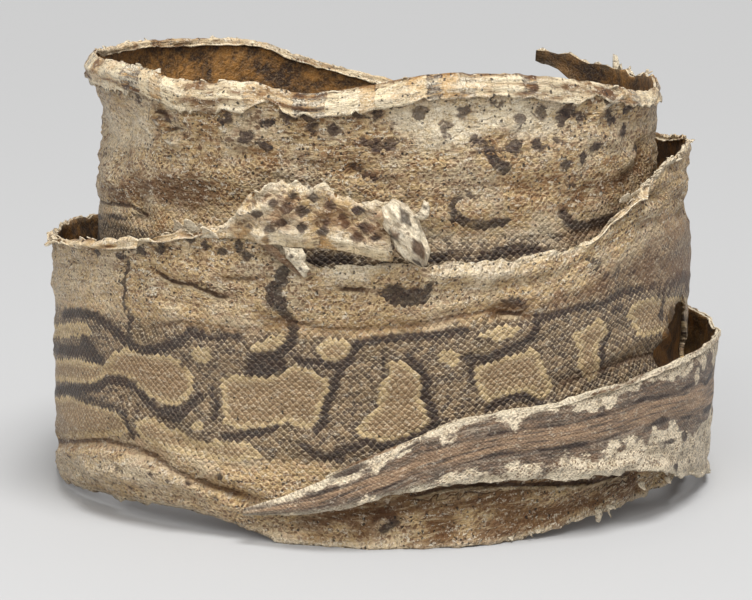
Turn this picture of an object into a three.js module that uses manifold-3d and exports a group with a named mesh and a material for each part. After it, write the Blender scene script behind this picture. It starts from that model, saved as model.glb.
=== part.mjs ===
// A shed snake skin, dried and rolled up on itself. One long sheet, narrow at the tail and wide at
// the body, winds two and a half turns round an open middle. The tail end is the outermost turn and
// stays low; each turn inside it climbs higher, so that the roll opens upwards like a telescope.
//
// Millimetres and degrees. +Z is up, and the roll stands on its lower edge at z = 0. Angles run
// counterclockwise seen from above: -90 is the front, 0 the right, 90 the back and 180 the left.
// They count on through the turns, from the tail tip to the torn neck end.
import * as THREE from "three";
import { mergeVertices } from "three/addons/utils/BufferGeometryUtils.js";
import Module from "manifold-3d";

const wasm = await Module();
wasm.setup();

// Driving dimensions.
const HALF_WIDTH = 118.5; // of the roll, left to right
const HALF_DEPTH = 106; // of the roll, front to back
const SQUARENESS = 2.2; // 2 is an ellipse, and more is squarer
const THICKNESS = 1.2; // of the dried skin with its small crumples
const TAIL_ANGLE = -114;
const NECK_ANGLE = 767;
const STEP_ANGLE = 5.2; // between columns of the mesh
const COLOUR = 0xb29a76;

// How far the sheet runs inside the roll's outline, by angle.
const INSET = [
  [-114, 0], [-60, 0], [0, 0], [60, 0], [120, 0.5], [180, 1.5], [225, 3], [246, 4], [270, 5],
  [300, 7], [330, 9], [360, 10.5], [420, 11], [480, 13], [520, 16.5], [540, 18], [570, 16],
  [600, 12], [630, 10.5], [660, 12], [690, 17.5], [720, 24], [750, 27], [770, 29],
];

// Height of the sheet's upper edge, by angle.
const UPPER_EDGE = [
  [-114, 12], [-107, 17], [-96, 27], [-84, 36.5], [-77, 42], [-60, 46], [-40, 52], [-20, 55],
  [0, 54], [30, 58], [60, 66], [90, 74], [120, 81], [150, 86], [180, 89], [204, 92], [223, 96],
  [235, 101], [244, 102], [251, 98], [257, 91], [275, 92], [298, 93], [309, 96], [315, 103],
  [322, 111], [330, 118], [345, 122], [360, 122], [375, 119], [400, 121], [430, 128], [460, 139],
  [472, 145], [480, 150], [510, 152], [530, 152], [550, 152.5], [573, 152], [583, 150.5], [590, 148],
  [606, 148], [614, 145], [622, 146], [640, 151], [655, 151], [672, 147], [690, 142], [720, 143.5],
  [746, 145], [762, 148], [770, 149],
];

// Height of the sheet's lower edge, by angle.
const LOWER_EDGE = [
  [-114, 9], [-104, 12], [-96, 15], [-82, 22], [-70, 22], [-52, 21], [-42, 19], [-25, 10],
  [-8, 3], [5, 0], [30, 0], [60, 0], [75, 1], [90, 1], [105, 1], [120, 0], [145, 0], [165, 0],
  [180, 1], [200, 3], [216, 5], [227, 6.5], [236, 6], [245, 3], [253, 0], [272, 0], [290, 0],
  [303, 3], [312, 5], [324, 6], [340, 8], [360, 12], [420, 18], [480, 26], [540, 30], [600, 32],
  [660, 34], [710, 40], [730, 60], [740, 96], [748, 123], [755, 136], [762, 142], [770, 146],
];

// Broad dents and bulges in the wall: angle, height, how wide (degrees), how tall (mm), how far out.
const BUMPS = [
  { angle: 562, height: 128, wide: 24, tall: 9, out: -6 }, // waist under the left of the top rim
  { angle: 588, height: 108, wide: 14, tall: 9, out: -3 }, // dent beside it
  { angle: 222, height: 17, wide: 22, tall: 9, out: 2.5 }, // low roll at the front left
  { angle: 655, height: 120, wide: 26, tall: 14, out: 1.5 }, // belly of the inner turn
];
const CURL = { from: 186, to: 252, height: 15, inward: 6 }; // lower edge turned under, front left
const STRIP = { from: -50, until: -5, out: 2.5 }; // the tail's rounded section, and where it fades

// How far the lower edge stands out from the wall above it, by angle, and how high that reaches.
const FLARE = [
  [-114, 0], [-60, 0], [-20, -1.5], [5, -2.5], [40, -1.5], [90, 0], [246, 0], [258, 2], [270, 5],
  [292, 5], [310, 2], [330, 0], [770, 0],
];
const FLARE_HEIGHT = 32;
const RIM = { from: 528, to: 700, tall: 10, out: 2 }; // the rolled rim of the inner turn
const ROWS = [0, 0.06, 0.14, 0.28, 0.44, 0.6, 0.74, 0.85, 0.915, 0.96, 1]; // lower to upper edge

// The hole torn in the right-hand corner of the middle turn: angle, height, width and tallness.
const HOLE = { angle: 337.5, height: 58, wide: 34, tall: 26, sides: 16 };

// The torn flap of belly skin that stands over the gap in the front. Angles and heights of its
// lower and upper edges, and how far out it stands from the middle turn.
const FLAP_LOWER = [[240, 98], [246, 98.5], [252, 98.5], [262, 97], [270, 94], [276, 92], [278, 93]];
const FLAP_UPPER = [[240, 102], [246, 112], [251, 118], [261, 117], [270, 112], [276, 108], [278, 104]];
const FLAP_OUT = [[240, 0], [246, 1], [254, 2], [266, 4], [274, 5], [278, 4]];
const FLAP_COLUMNS = 16;
const FLAP_ROWS = [0, 0.25, 0.5, 0.75, 1];
const FLAP_BOW = 1.5; // how much further out its middle stands

const radians = THREE.MathUtils.degToRad;
const smooth = THREE.MathUtils.smoothstep;

// A smooth curve through a table of [x, y] rows, read at x.
function along(table, x) {
  const last = table.length - 1;
  const at = Math.min(Math.max(x, table[0][0]), table[last][0]);
  let i = 0;
  while (i < last - 1 && table[i + 1][0] <= at) i += 1;
  const slope = (k) => {
    const before = table[Math.max(k - 1, 0)];
    const after = table[Math.min(k + 1, last)];
    return (after[1] - before[1]) / (after[0] - before[0]);
  };
  const [x0, y0] = table[i];
  const [x1, y1] = table[i + 1];
  const h = x1 - x0;
  const u = (at - x0) / h;
  return (
    (2 * u ** 3 - 3 * u ** 2 + 1) * y0 +
    (u ** 3 - 2 * u ** 2 + u) * h * slope(i) +
    (3 * u ** 2 - 2 * u ** 3) * y1 +
    (u ** 3 - u ** 2) * h * slope(i + 1)
  );
}

// The sheet's middle line in plan.
function plan(angle) {
  const a = radians(angle);
  const x = Math.abs(Math.cos(a) / HALF_WIDTH) ** SQUARENESS;
  const y = Math.abs(Math.sin(a) / HALF_DEPTH) ** SQUARENESS;
  const r = (x + y) ** (-1 / SQUARENESS) - along(INSET, angle);
  return new THREE.Vector2(r * Math.cos(a), r * Math.sin(a));
}

// The direction out of the roll at an angle, square to the sheet in plan.
function outward(angle) {
  const t = plan(angle + 0.5).sub(plan(angle - 0.5)).normalize();
  return new THREE.Vector2(t.y, -t.x);
}

// The height of the lower edge, which lies flat where it touches the ground.
function lowerEdge(angle) {
  return Math.max(0, along(LOWER_EDGE, angle));
}

// How far the wall stands out from the plan's line at an angle and a height.
function relief(angle, height) {
  const low = lowerEdge(angle);
  const high = along(UPPER_EDGE, angle);
  let out = 0;
  for (const b of BUMPS) {
    const across = (angle - b.angle) / b.wide;
    const up = (height - b.height) / b.tall;
    out += b.out * Math.exp(-across * across - up * up);
  }
  const middle = (2 * height - low - high) / (high - low);
  out += STRIP.out * (1 - middle * middle) * (1 - smooth(angle, STRIP.from, STRIP.until));
  const lowPart = Math.max(0, 1 - (height - low) / FLARE_HEIGHT);
  out += along(FLARE, angle) * lowPart * lowPart;
  const turned = smooth(angle, CURL.from, CURL.from + 20) * (1 - smooth(angle, CURL.to - 20, CURL.to));
  const under = Math.max(0, 1 - (height - low) / CURL.height);
  out -= CURL.inward * turned * under * under;
  const rolled = smooth(angle, RIM.from, RIM.from + 12) * (1 - smooth(angle, RIM.to - 12, RIM.to));
  const below = (high - height) / RIM.tall;
  if (below < 1) out += RIM.out * rolled * Math.sin(Math.PI * below);
  return out;
}

// A point of the sheet: offset is from its middle surface, outwards.
function wallPoint(angle, height, offset) {
  const p = plan(angle).addScaledVector(outward(angle), relief(angle, height) + offset);
  return [p.x, p.y, height];
}

// One closed sheet from a grid of columns and rows: point(i, j, side) gives its two faces.
function sheet(columns, rows, point) {
  const vertices = [];
  for (const side of [1, -1])
    for (let i = 0; i < columns; i += 1)
      for (let j = 0; j < rows; j += 1) vertices.push(...point(i, j, side));
  const outer = (i, j) => i * rows + j;
  const inner = (i, j) => (columns + i) * rows + j;
  const index = [];
  const quad = (a, b, c, d) => index.push(a, b, c, a, c, d);
  for (let i = 0; i + 1 < columns; i += 1) {
    for (let j = 0; j + 1 < rows; j += 1) {
      quad(outer(i, j), outer(i + 1, j), outer(i + 1, j + 1), outer(i, j + 1));
      quad(inner(i, j), inner(i, j + 1), inner(i + 1, j + 1), inner(i + 1, j));
    }
    quad(outer(i, 0), inner(i, 0), inner(i + 1, 0), outer(i + 1, 0));
    quad(outer(i, rows - 1), outer(i + 1, rows - 1), inner(i + 1, rows - 1), inner(i, rows - 1));
  }
  for (let j = 0; j + 1 < rows; j += 1) {
    quad(outer(0, j), outer(0, j + 1), inner(0, j + 1), inner(0, j));
    quad(outer(columns - 1, j), inner(columns - 1, j), inner(columns - 1, j + 1), outer(columns - 1, j + 1));
  }
  return solidOf(
    new THREE.BufferGeometry()
      .setAttribute("position", new THREE.Float32BufferAttribute(vertices, 3))
      .setIndex(index),
  );
}

// A manifold-3d solid from a closed three.js geometry.
function solidOf(geometry) {
  const bare = geometry.clone();
  bare.deleteAttribute("normal");
  bare.deleteAttribute("uv");
  const merged = mergeVertices(bare, 1e-3);
  return new wasm.Manifold(
    new wasm.Mesh({
      numProp: 3,
      vertProperties: merged.getAttribute("position").array,
      triVerts: new Uint32Array(merged.index.array),
    }),
  );
}

function geometryOf(solid) {
  const made = solid.getMesh();
  const geometry = new THREE.BufferGeometry()
    .setAttribute("position", new THREE.BufferAttribute(made.vertProperties, 3))
    .setIndex(new THREE.BufferAttribute(made.triVerts, 1));
  geometry.computeVertexNormals();
  return geometry;
}

function rolledSheet() {
  const columns = Math.ceil((NECK_ANGLE - TAIL_ANGLE) / STEP_ANGLE) + 1;
  return sheet(columns, ROWS.length, (i, j, side) => {
    const angle = TAIL_ANGLE + ((NECK_ANGLE - TAIL_ANGLE) * i) / (columns - 1);
    const low = lowerEdge(angle);
    const high = along(UPPER_EDGE, angle);
    return wallPoint(angle, low + (high - low) * ROWS[j], (side * THICKNESS) / 2);
  });
}

function tornFlap() {
  const first = FLAP_LOWER[0][0];
  const last = FLAP_LOWER[FLAP_LOWER.length - 1][0];
  return sheet(FLAP_COLUMNS, FLAP_ROWS.length, (i, j, side) => {
    const angle = first + ((last - first) * i) / (FLAP_COLUMNS - 1);
    const low = along(FLAP_LOWER, angle);
    const high = along(FLAP_UPPER, angle);
    const w = FLAP_ROWS[j];
    const out = along(FLAP_OUT, angle) + FLAP_BOW * 4 * w * (1 - w) * smooth(angle, first, first + 12);
    return wallPoint(angle, low + (high - low) * w, out + (side * THICKNESS) / 2);
  });
}

// A prism across the wall, with an uneven outline, to cut the hole with.
function holeCutter() {
  const outline = new THREE.Shape();
  for (let k = 0; k < HOLE.sides; k += 1) {
    const a = (2 * Math.PI * k) / HOLE.sides;
    const uneven = 1 + 0.12 * Math.sin(3 * a + 1);
    const x = (HOLE.wide / 2) * uneven * Math.cos(a);
    const y = (HOLE.tall / 2) * uneven * Math.sin(a);
    if (k === 0) outline.moveTo(x, y);
    else outline.lineTo(x, y);
  }
  const depth = 7;
  const cutter = new THREE.ExtrudeGeometry(outline, { depth, bevelEnabled: false });
  const middle = plan(HOLE.angle);
  const n = outward(HOLE.angle);
  cutter.translate(0, 0, -depth / 2);
  cutter.applyMatrix4(
    new THREE.Matrix4().makeBasis(
      new THREE.Vector3(-n.y, n.x, 0),
      new THREE.Vector3(0, 0, 1),
      new THREE.Vector3(n.x, n.y, 0),
    ),
  );
  cutter.translate(middle.x, middle.y, HOLE.height);
  return solidOf(cutter);
}

function shedSkin() {
  const skin = geometryOf(rolledSheet().add(tornFlap()).subtract(holeCutter()));
  skin.computeBoundingBox();
  const middle = skin.boundingBox.getCenter(new THREE.Vector3());
  skin.translate(-middle.x, -middle.y, -skin.boundingBox.min.z);
  const material = new THREE.MeshStandardMaterial({ color: COLOUR, roughness: 0.7, metalness: 0 });
  const mesh = new THREE.Mesh(skin, material);
  mesh.name = "shed_skin";
  return mesh;
}

const roll = new THREE.Group();
roll.add(shedSkin());

export default roll;
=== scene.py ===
"""A shed snake skin, dried and rolled up on itself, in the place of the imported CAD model.

The skin is one long sheet, wound two and a half turns. Lengths are in millimetres and angles in degrees
until a mesh is made, which is in metres. Angles count counterclockwise seen from above and run on
through the turns: -90 is the front, 0 the right, 90 the back, 180 the left, and so on to the torn neck.
On the skin, s is the distance from the tail tip, and v the height above the line of the snake's back.
Places that end in _PX are pixels of the photograph, in its 752 by 600 frame; they are carried onto the
wall of the roll through the camera.
"""

import bpy
import numpy as np
from mathutils import Matrix, Vector


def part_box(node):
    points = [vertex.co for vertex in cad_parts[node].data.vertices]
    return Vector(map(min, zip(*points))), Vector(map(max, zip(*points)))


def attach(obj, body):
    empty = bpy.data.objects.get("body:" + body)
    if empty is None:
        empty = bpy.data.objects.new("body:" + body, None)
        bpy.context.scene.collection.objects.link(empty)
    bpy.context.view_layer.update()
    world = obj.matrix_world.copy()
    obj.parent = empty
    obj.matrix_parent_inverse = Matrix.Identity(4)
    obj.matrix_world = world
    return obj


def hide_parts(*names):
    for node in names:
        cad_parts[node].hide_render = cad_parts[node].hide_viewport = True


MM = 0.001
NODE = "shed_skin"

# The camera, in the roll's own millimetres: a long lens a little above the table.
IMAGE = (752, 600)
FOCAL_PX = 2500.0
SENSOR = 36.0
CAMERA_PLACE = np.array([-2.4, -885.0, 215.0])
CAMERA_PITCH = np.radians(9.76)

# The roll: the sheet's line in plan and its edges, as in the CAD model. Near the torn neck the upper edge
# is up to 2 mm off the model's.
HALF_WIDTH = 118.5
HALF_DEPTH = 106.0
SQUARENESS = 2.2
TAIL_ANGLE = -114.0
NECK_ANGLE = 767.0
THICKNESS = 0.9

INSET = [  # angle, and how far inside the outermost line the sheet is
    (-114, 0), (-60, 0), (0, 0), (60, 0), (120, 0.5), (180, 1.5), (225, 3), (246, 4), (270, 5),
    (300, 7), (330, 9), (360, 10.5), (420, 11), (480, 13), (520, 16.5), (540, 18), (570, 16),
    (600, 12), (630, 10.5), (660, 12), (690, 17.5), (720, 24), (750, 27), (770, 29),
]
UPPER_EDGE = [  # angle, and height of the sheet's upper edge
    (-114, 12), (-107, 17), (-96, 27), (-84, 36.5), (-77, 42), (-60, 46), (-40, 52), (-20, 55),
    (0, 54), (30, 58), (60, 66), (90, 74), (120, 81), (150, 86), (180, 89), (204, 92), (223, 96),
    (235, 101), (244, 102), (251, 98), (257, 91), (275, 92), (298, 93), (309, 96), (315, 103),
    (322, 111), (330, 118), (345, 122), (360, 122), (375, 119), (400, 121), (430, 128), (460, 139),
    (472, 145), (480, 150), (510, 152), (530, 152), (550, 152.5), (573, 152), (583, 150.5), (590, 148),
    (606, 148), (614, 145), (622, 146), (640, 151), (655, 151), (672, 147), (690, 142), (720, 143.5),
    (738, 142.6), (748, 144.6), (762, 148), (770, 149),
]
LOWER_EDGE = [
    (-114, 9), (-104, 12), (-96, 15), (-82, 22), (-70, 22), (-52, 21), (-42, 19), (-25, 10),
    (-8, 3), (5, 0), (30, 0), (60, 0), (75, 1), (90, 1), (105, 1), (120, 0), (145, 0), (165, 0),
    (180, 1), (200, 3), (216, 5), (227, 6.5), (236, 6), (245, 3), (253, 0), (272, 0), (290, 0),
    (303, 3), (312, 5), (324, 6), (340, 8), (360, 12), (420, 18), (480, 26), (540, 30), (600, 32),
    (660, 34), (710, 40), (730, 60), (740, 96), (748, 123), (755, 136), (762, 142), (770, 146),
]
FLARE = [  # angle, and how far out the foot of the wall stands
    (-114, 0), (-60, 0), (-20, -1.5), (5, -2.5), (40, -1.5), (90, 0), (246, 0), (258, 2), (270, 5),
    (292, 5), (310, 2), (330, 0), (770, 0),
]
FLARE_HEIGHT = 32.0
BUMPS = [  # angle, height, how wide (degrees), how tall (mm), how far out (mm)
    (562, 128, 24, 9, -6), (588, 108, 14, 9, -3), (222, 17, 22, 9, 2.5), (655, 120, 26, 14, 1.5),
]
TUCK = {"from": 186, "to": 252, "height": 15, "inward": 6}  # where the lower edge turns in
STRIP = {"from": -50, "to": -5, "out": 2.5}  # the tail, rounded out
RIM = {"from": 528, "to": 700, "tall": 10, "out": 2}  # the inner turn's swollen upper rim

# The line of the back, and the snake's half girth, by angle.
BACK_LINE = [
    (-114, 10.5), (-104, 15.2), (-92, 23), (-82, 30), (-72, 34), (-55, 36), (-40, 39), (-24, 37.5),
    (20, 34), (90, 38), (180, 45), (221, 50), (250, 48), (271, 47.5), (294, 52.8), (309, 59),
    (322, 67), (345, 72), (380, 73), (440, 74), (500, 73), (560, 71), (660, 72), (720, 76), (770, 82),
]
HALF_GIRTH = [
    (-114, 4), (-84, 12), (-40, 18), (20, 28), (120, 41), (220, 51), (330, 58), (540, 67), (770, 68),
]
USUAL_GIRTH = 55  # the half girth that the sizes of the hidden pattern are given for

# Size of the diamond scales by distance from the tail tip: their full length and height.
SCALE_LENGTH = [(0, 1.3), (150, 1.6), (350, 1.9), (500, 2.05), (700, 2.3), (900, 2.3), (1700, 2.6)]
SCALE_HEIGHT = [(0, 1.1), (150, 1.4), (350, 1.8), (500, 1.95), (700, 2.2), (900, 2.1), (1700, 2.3)]
BELLY_SCALES = 0.79  # share of the half girth beyond which the scales are large
BELLY_SCALE_LENGTH = 4.4
BELLY_SCALE_HEIGHT = 3.6
SCUTE_LENGTH = 5.2  # of the belly scutes, along the body
FLAP_SCALE_LENGTH = 3.6
FLAP_SCALE_HEIGHT = 3.2
HEM_SCALE = 2.4
BIT_SCALE = 2.2

# What the materials are told about skin that isn't on the wall: v, the share of the half girth and speckle.
HEM_HEIGHT = 60
HEM_FLANK = 0.97
LOOSE_HEIGHT = 40
LOOSE_FLANK = 0.9
LOOSE_SPECKLE = 0.12

# Ranges of s over which the skin's looks change.
TAIL_FADES = (235.0, 300.0)  # the tail's stripes give way to the back's patches
TAIL_NARROWS = (150.0, 215.0)  # the grey middle of the tail gets narrower below the line of the back
TAIL_WRINKLES_FADE = (200.0, 300.0)
SCALES_GROW = (200.0, 320.0)  # scales, specks and strays come up to their full strength
# where the painted highlight on the scales' rims gets brighter and slants less
RIM_HIGHLIGHT_GROWS = (600.0, 720.0)
NECK_START = 1000.0  # beyond it the flanks turn amber, and scales near the belly are large
NECK_AMBER = 1150.0
SPECKLE_GROWS = (250.0, 400.0)
HIDDEN_PATCHES_START = 250.0
HIDDEN_LINES_START = 240.0
HIDDEN_SPOTS_START = 340.0
DARK_NECK = 60.0  # the length of the inside that darkens toward the torn neck

# The mesh.
COLUMNS = 841
ROWS = 65
FRONT_DENSITY = 1.5  # how many times closer together the columns are at the front than at the back
HEM_STEP = 1.35  # along a folded edge
HEM_ROWS = 13
LOOSE_THICKNESS = 0.4  # of hems, the rolled end and scraps
FLAKE_THICKNESS = 0.35

# The hole torn in the right-hand corner of the middle turn: its outline about its centre.
HOLE_ANGLE = 337.5
HOLE_HEIGHT = 57.5
HOLE_OUTLINE = [
    (20, -4), (16, 3.5), (9, 10.5), (1.5, 15), (-8.5, 10.5), (-13, 4.5), (-18, 2), (-16.5, -4),
    (-13, -10.5), (1, -13), (15, -11),
]
HOLE_COLUMNS = 10  # half its width and height in the mesh, in cells
HOLE_ROWS = 8

PINCH_ANGLE = -84.5  # where the tail is pinched

# The ranges of angles on which pixels of the photograph are looked for.
STRIP_TURN = (-114, 25)
MIDDLE_TURN = (165, 380)
INNER_TURN = (525, 725)
NECK_TURN = (700, 745)
LOW_FRONT = (285, 330)

# Where it shows the skin: the angles on each turn, and on the inner turn the height too.
STRIP_SHOWN_TO = 5
MIDDLE_SHOWN = (185, 352)
INNER_SHOWN = (548, 712)
INNER_SHOWN_ABOVE = 93

# Pale patches of the back, with a cream edge.
PATCHES_PX = {
    "left": [
        (109, 361), (116, 352), (127, 347), (138, 351), (150, 354), (165, 355), (177, 361), (184, 369),
        (192, 380), (193, 391), (186, 401), (178, 406), (163, 405), (149, 398), (138, 389), (129, 380),
        (116, 376), (105, 376), (99, 382), (88, 385), (73, 382), (62, 376), (60, 360), (61, 346),
        (65, 343), (73, 352), (80, 360), (100, 364),
    ],
    "left_top": [(65, 324), (76, 322), (86, 323), (91, 331), (92, 337), (83, 336), (75, 335), (68, 331)],
    "left_low": [
        (62, 397), (73, 396), (94, 403), (116, 409), (123, 414), (127, 425), (128, 431), (120, 436),
        (100, 438), (80, 436), (64, 425),
    ],
    "left_low_right": [
        (135, 425), (143, 418), (154, 417), (161, 425), (172, 430), (182, 431), (188, 440), (200, 443),
        (221, 441), (243, 442), (256, 449), (262, 458), (230, 462), (200, 457), (165, 450), (140, 440),
    ],
    "spot_high": [(192, 348), (209, 347), (215, 356), (209, 363), (192, 362)],
    "spot_low": [(192, 421), (203, 421), (203, 429), (192, 429)],
    "second": [
        (221, 379), (227, 376), (243, 376), (261, 377), (274, 376), (280, 371), (293, 364), (304, 367),
        (315, 371), (323, 377), (330, 383), (330, 393), (325, 399), (323, 406), (320, 413), (319, 420),
        (315, 426), (308, 431), (298, 427), (287, 423), (276, 426), (261, 429), (247, 430), (232, 428),
        (223, 424), (222, 406), (221, 391),
    ],
    "above_second": [
        (252, 353), (251, 346), (261, 340), (276, 336), (286, 335), (289, 339), (282, 345), (276, 352),
        (265, 354),
    ],
    "above_third": [
        (318, 344), (330, 339), (344, 340), (352, 348), (351, 357), (341, 362), (325, 361), (319, 355),
    ],
    "third": [
        (387, 360), (396, 359), (408, 361), (414, 368), (424, 380), (424, 391), (419, 397), (425, 406),
        (432, 422), (425, 430), (414, 436), (403, 441), (382, 442), (365, 437), (356, 429), (368, 416),
        (378, 408), (376, 402), (382, 395), (378, 390), (387, 376), (386, 366),
    ],
    "above_fourth": [(436, 355), (445, 350), (454, 350), (458, 356), (456, 363), (452, 368), (442, 363)],
    "top_fourth": [(472, 333), (490, 339), (498, 342), (512, 336), (522, 328), (505, 326), (485, 330)],
    "fourth": [
        (473, 380), (475, 367), (483, 363), (496, 357), (504, 355), (517, 354), (532, 347), (540, 355),
        (545, 371), (552, 381), (553, 391), (541, 401), (530, 391), (512, 394), (501, 397), (496, 402),
        (490, 404), (484, 399), (481, 391), (476, 385),
    ],
    "fifth": [
        (571, 334), (584, 328), (597, 319), (605, 323), (610, 331), (607, 337), (599, 344), (597, 350),
        (602, 362), (600, 374), (592, 382), (583, 376), (578, 362), (580, 350), (572, 340),
    ],
    "sixth": [(626, 318), (635, 304), (650, 298), (656, 309), (650, 328), (641, 338), (632, 322)],
}

# Dark lines and blots: the points of each line, and its width in millimetres.
DARK_LINES_PX = [
    ([(64, 315), (78, 312), (95, 316), (101, 321)], 3.0),
    ([(66, 330), (75, 340), (83, 351), (101, 361)], 3.6),
    ([(84, 341), (94, 352)], 4.0),
    ([(101, 321), (116, 334), (127, 343), (138, 350), (149, 351), (160, 348), (170, 346), (181, 340)], 3.0),
    ([(181, 340), (190, 332), (197, 330), (207, 337), (239, 337)], 2.0),
    ([(190, 331), (200, 334)], 4.0),
    ([(125, 262), (122, 285), (124, 303), (124, 311), (130, 317), (127, 326), (128, 334)], 1.7),
    ([(69, 389), (86, 388), (99, 387), (107, 380), (118, 381), (133, 386), (142, 396), (151, 406)], 2.9),
    ([(151, 406), (160, 412), (172, 410), (184, 409), (192, 402), (200, 396)], 2.4),
    ([(69, 392), (84, 399), (101, 404), (117, 408), (126, 413), (128, 424), (131, 437)], 2.0),
    ([(283, 271), (279, 281), (274, 290)], 4.2),
    ([(274, 290), (273, 298), (279, 303)], 5.0),
    ([(279, 303), (286, 313), (289, 320), (292, 328), (294, 335), (289, 343), (279, 352)], 3.2),
    ([(250, 371), (256, 358), (266, 356), (276, 358), (282, 366), (270, 371), (258, 370)], 3.6),
    ([(264, 363), (274, 366)], 4.6),
    ([(298, 358), (304, 363), (315, 362), (330, 365), (345, 363), (352, 355), (355, 349)], 2.3),
    ([(355, 349), (359, 344), (377, 340), (395, 338), (417, 336), (444, 334), (466, 330)], 2.3),
    ([(341, 370), (335, 381), (333, 391), (327, 402), (324, 413), (325, 423), (317, 431)], 2.5),
    ([(222, 435), (236, 438), (243, 435), (256, 434), (269, 431), (276, 428)], 2.1),
    ([(304, 447), (315, 453), (330, 458), (341, 459)], 2.2),
    ([(338, 450), (352, 448), (363, 443), (372, 443), (382, 447), (403, 442), (421, 433), (436, 425)], 2.5),
    ([(382, 357), (387, 371)], 1.6),
    ([(407, 356), (421, 371), (427, 380), (425, 395), (429, 404), (434, 417), (436, 425)], 2.7),
    ([(468, 357), (485, 360), (501, 352), (517, 346), (530, 338), (536, 325), (536, 317)], 2.8),
    ([(536, 317), (549, 316), (565, 311), (583, 306), (599, 307), (618, 296), (632, 292)], 2.2),
    ([(632, 292), (643, 279), (652, 274), (664, 269)], 2.4),
    ([(470, 370), (475, 388)], 1.7),
    ([(488, 408), (500, 402), (522, 396), (541, 404)], 2.4),
    ([(610, 334), (603, 345), (603, 360), (606, 376)], 2.0),
    ([(612, 312), (622, 308)], 2.2),
    ([(504, 303), (513, 301), (524, 306)], 2.0),
    ([(588, 260), (600, 262), (597, 269), (607, 277), (618, 275)], 1.3),
    ([(654, 330), (660, 318), (664, 304)], 1.6),
    ([(655, 300), (668, 284), (676, 273)], 1.4),
    ([(212, 389), (216, 405), (213, 420)], 2.0),
    ([(375, 520), (388, 512), (396, 522), (384, 530)], 2.6),
]
DARK_BLOTS_PX = [
    [(377, 293), (386, 286), (398, 284), (410, 290), (424, 289), (433, 280), (433, 296), (424, 304),
     (406, 307), (390, 303)],
    [(148, 406), (163, 411), (182, 407), (188, 415), (180, 424), (160, 420)],
    [(501, 300), (514, 297), (525, 302), (521, 309), (506, 308)],
]
INNER_DARK_LINES_PX = [
    ([(487, 195), (466, 195), (455, 200), (452, 208)], 1.6),
    ([(452, 208), (456, 218), (467, 224), (487, 226), (509, 222)], 2.8),
    ([(476, 140), (487, 148), (497, 162), (508, 171)], 3.2),
    ([(363, 142), (380, 146), (396, 142)], 2.2),
    ([(351, 166), (362, 170)], 2.0),
    ([(363, 176), (375, 180)], 2.0),
    ([(569, 182), (576, 187)], 1.8),
    ([(564, 211), (570, 223), (577, 227), (597, 224), (612, 219)], 3.4),
    ([(425, 259), (438, 259), (448, 255), (456, 253), (470, 257)], 2.4),
    ([(482, 258), (497, 254), (516, 250), (532, 251), (546, 255)], 3.6),
    ([(310, 262), (330, 259), (350, 260)], 2.8),
    ([(114, 185), (116, 201), (126, 213), (142, 216)], 1.6),
    ([(152, 118), (162, 114), (174, 120)], 2.0),
    ([(196, 245), (215, 240)], 1.4),
]
INNER_SPOTS_PX = [
    (287, 115), (306, 110), (325, 110), (314, 125), (333, 130), (358, 113), (376, 113), (394, 103),
    (461, 110), (493, 103), (518, 122), (516, 147), (537, 146), (540, 111), (560, 118), (571, 110),
    (580, 118), (514, 147), (610, 103), (629, 110), (583, 158), (595, 147), (655, 116), (610, 120),
    (643, 104), (268, 123), (264, 146), (293, 116), (127, 90), (138, 95), (118, 80), (345, 107),
    (420, 112), (446, 128), (555, 140), (625, 132), (640, 150), (566, 165), (230, 120), (245, 135),
]
RIM_SPOTS_PX = [  # along the middle turn's upper rim, left of the flap
    (74, 238), (92, 242), (110, 246), (131, 245), (152, 238), (168, 236), (180, 231), (191, 238),
    (205, 246), (141, 252), (120, 256), (98, 252), (222, 252), (238, 246), (246, 256), (160, 249),
]
LOW_SPOTS_PX = [  # near the lower edge of the middle turn
    (70, 456), (86, 462), (101, 467), (118, 468), (134, 473), (151, 474), (168, 480), (186, 482),
    (202, 487), (217, 497), (78, 474), (95, 479), (112, 483), (129, 488), (220, 478), (236, 482),
]
STAIN_PX = [
    (126, 182), (150, 173), (176, 170), (195, 173), (216, 189), (216, 199), (185, 208), (150, 199),
    (126, 189),
]
STAIN_GAIN = 0.95  # how brown the stain is

# The browner areas at the right-hand end of the middle turn are painted shade, for the slight shade on that
# side.
TONES_PX = [  # areas that are browner or paler: the turn, their outline, what is added to brown and to pale
    ("inner", [(470, 100), (520, 96), (556, 104), (552, 130), (520, 134), (484, 126)], -0.6, 1.0),
    ("inner", [(395, 118), (420, 102), (470, 100), (488, 126), (455, 150), (415, 150)], -0.7, 1.0),
    ("inner", [(318, 130), (392, 128), (404, 150), (380, 176), (310, 172), (300, 140)], 0.25, 0.0),
    ("inner", [(560, 168), (655, 150), (658, 200), (600, 226), (560, 220)], 0.35, 0.0),
    ("inner", [(104, 106), (150, 106), (156, 150), (112, 152)], -0.5, 0.7),
    ("inner", [(430, 228), (560, 228), (560, 246), (430, 246)], -0.4, 0.3),
    ("middle", [(100, 350), (190, 365), (190, 400), (100, 380)], 0.3, 0.0),
    ("middle", [(327, 266), (377, 268), (377, 284), (330, 284)], -0.4, 0.6),
    ("middle", [(427, 264), (500, 260), (545, 264), (505, 282), (430, 280)], -0.4, 0.75),
    # painted shade at the right-hand end of the middle turn
    ("middle", [(540, 284), (590, 270), (640, 232), (660, 215), (668, 225), (620, 270), (560, 292)],
     0.4, 0.0),
    ("middle", [(62, 450), (110, 456), (160, 470), (205, 486), (170, 492), (100, 482), (60, 470)],
     0.1, 0.35),
    ("middle", [(470, 302), (540, 298), (600, 276), (650, 255), (655, 272), (610, 294), (540, 314),
                (480, 314)], 0.5, 0.0),
    ("middle", [(56, 245), (110, 252), (118, 300), (62, 304)], 0.1, 0.25),
    # painted shade at the right-hand end of the middle turn
    ("middle", [(640, 225), (690, 190), (690, 300), (655, 300), (640, 270)], 0.35, 0.1),
]
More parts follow.
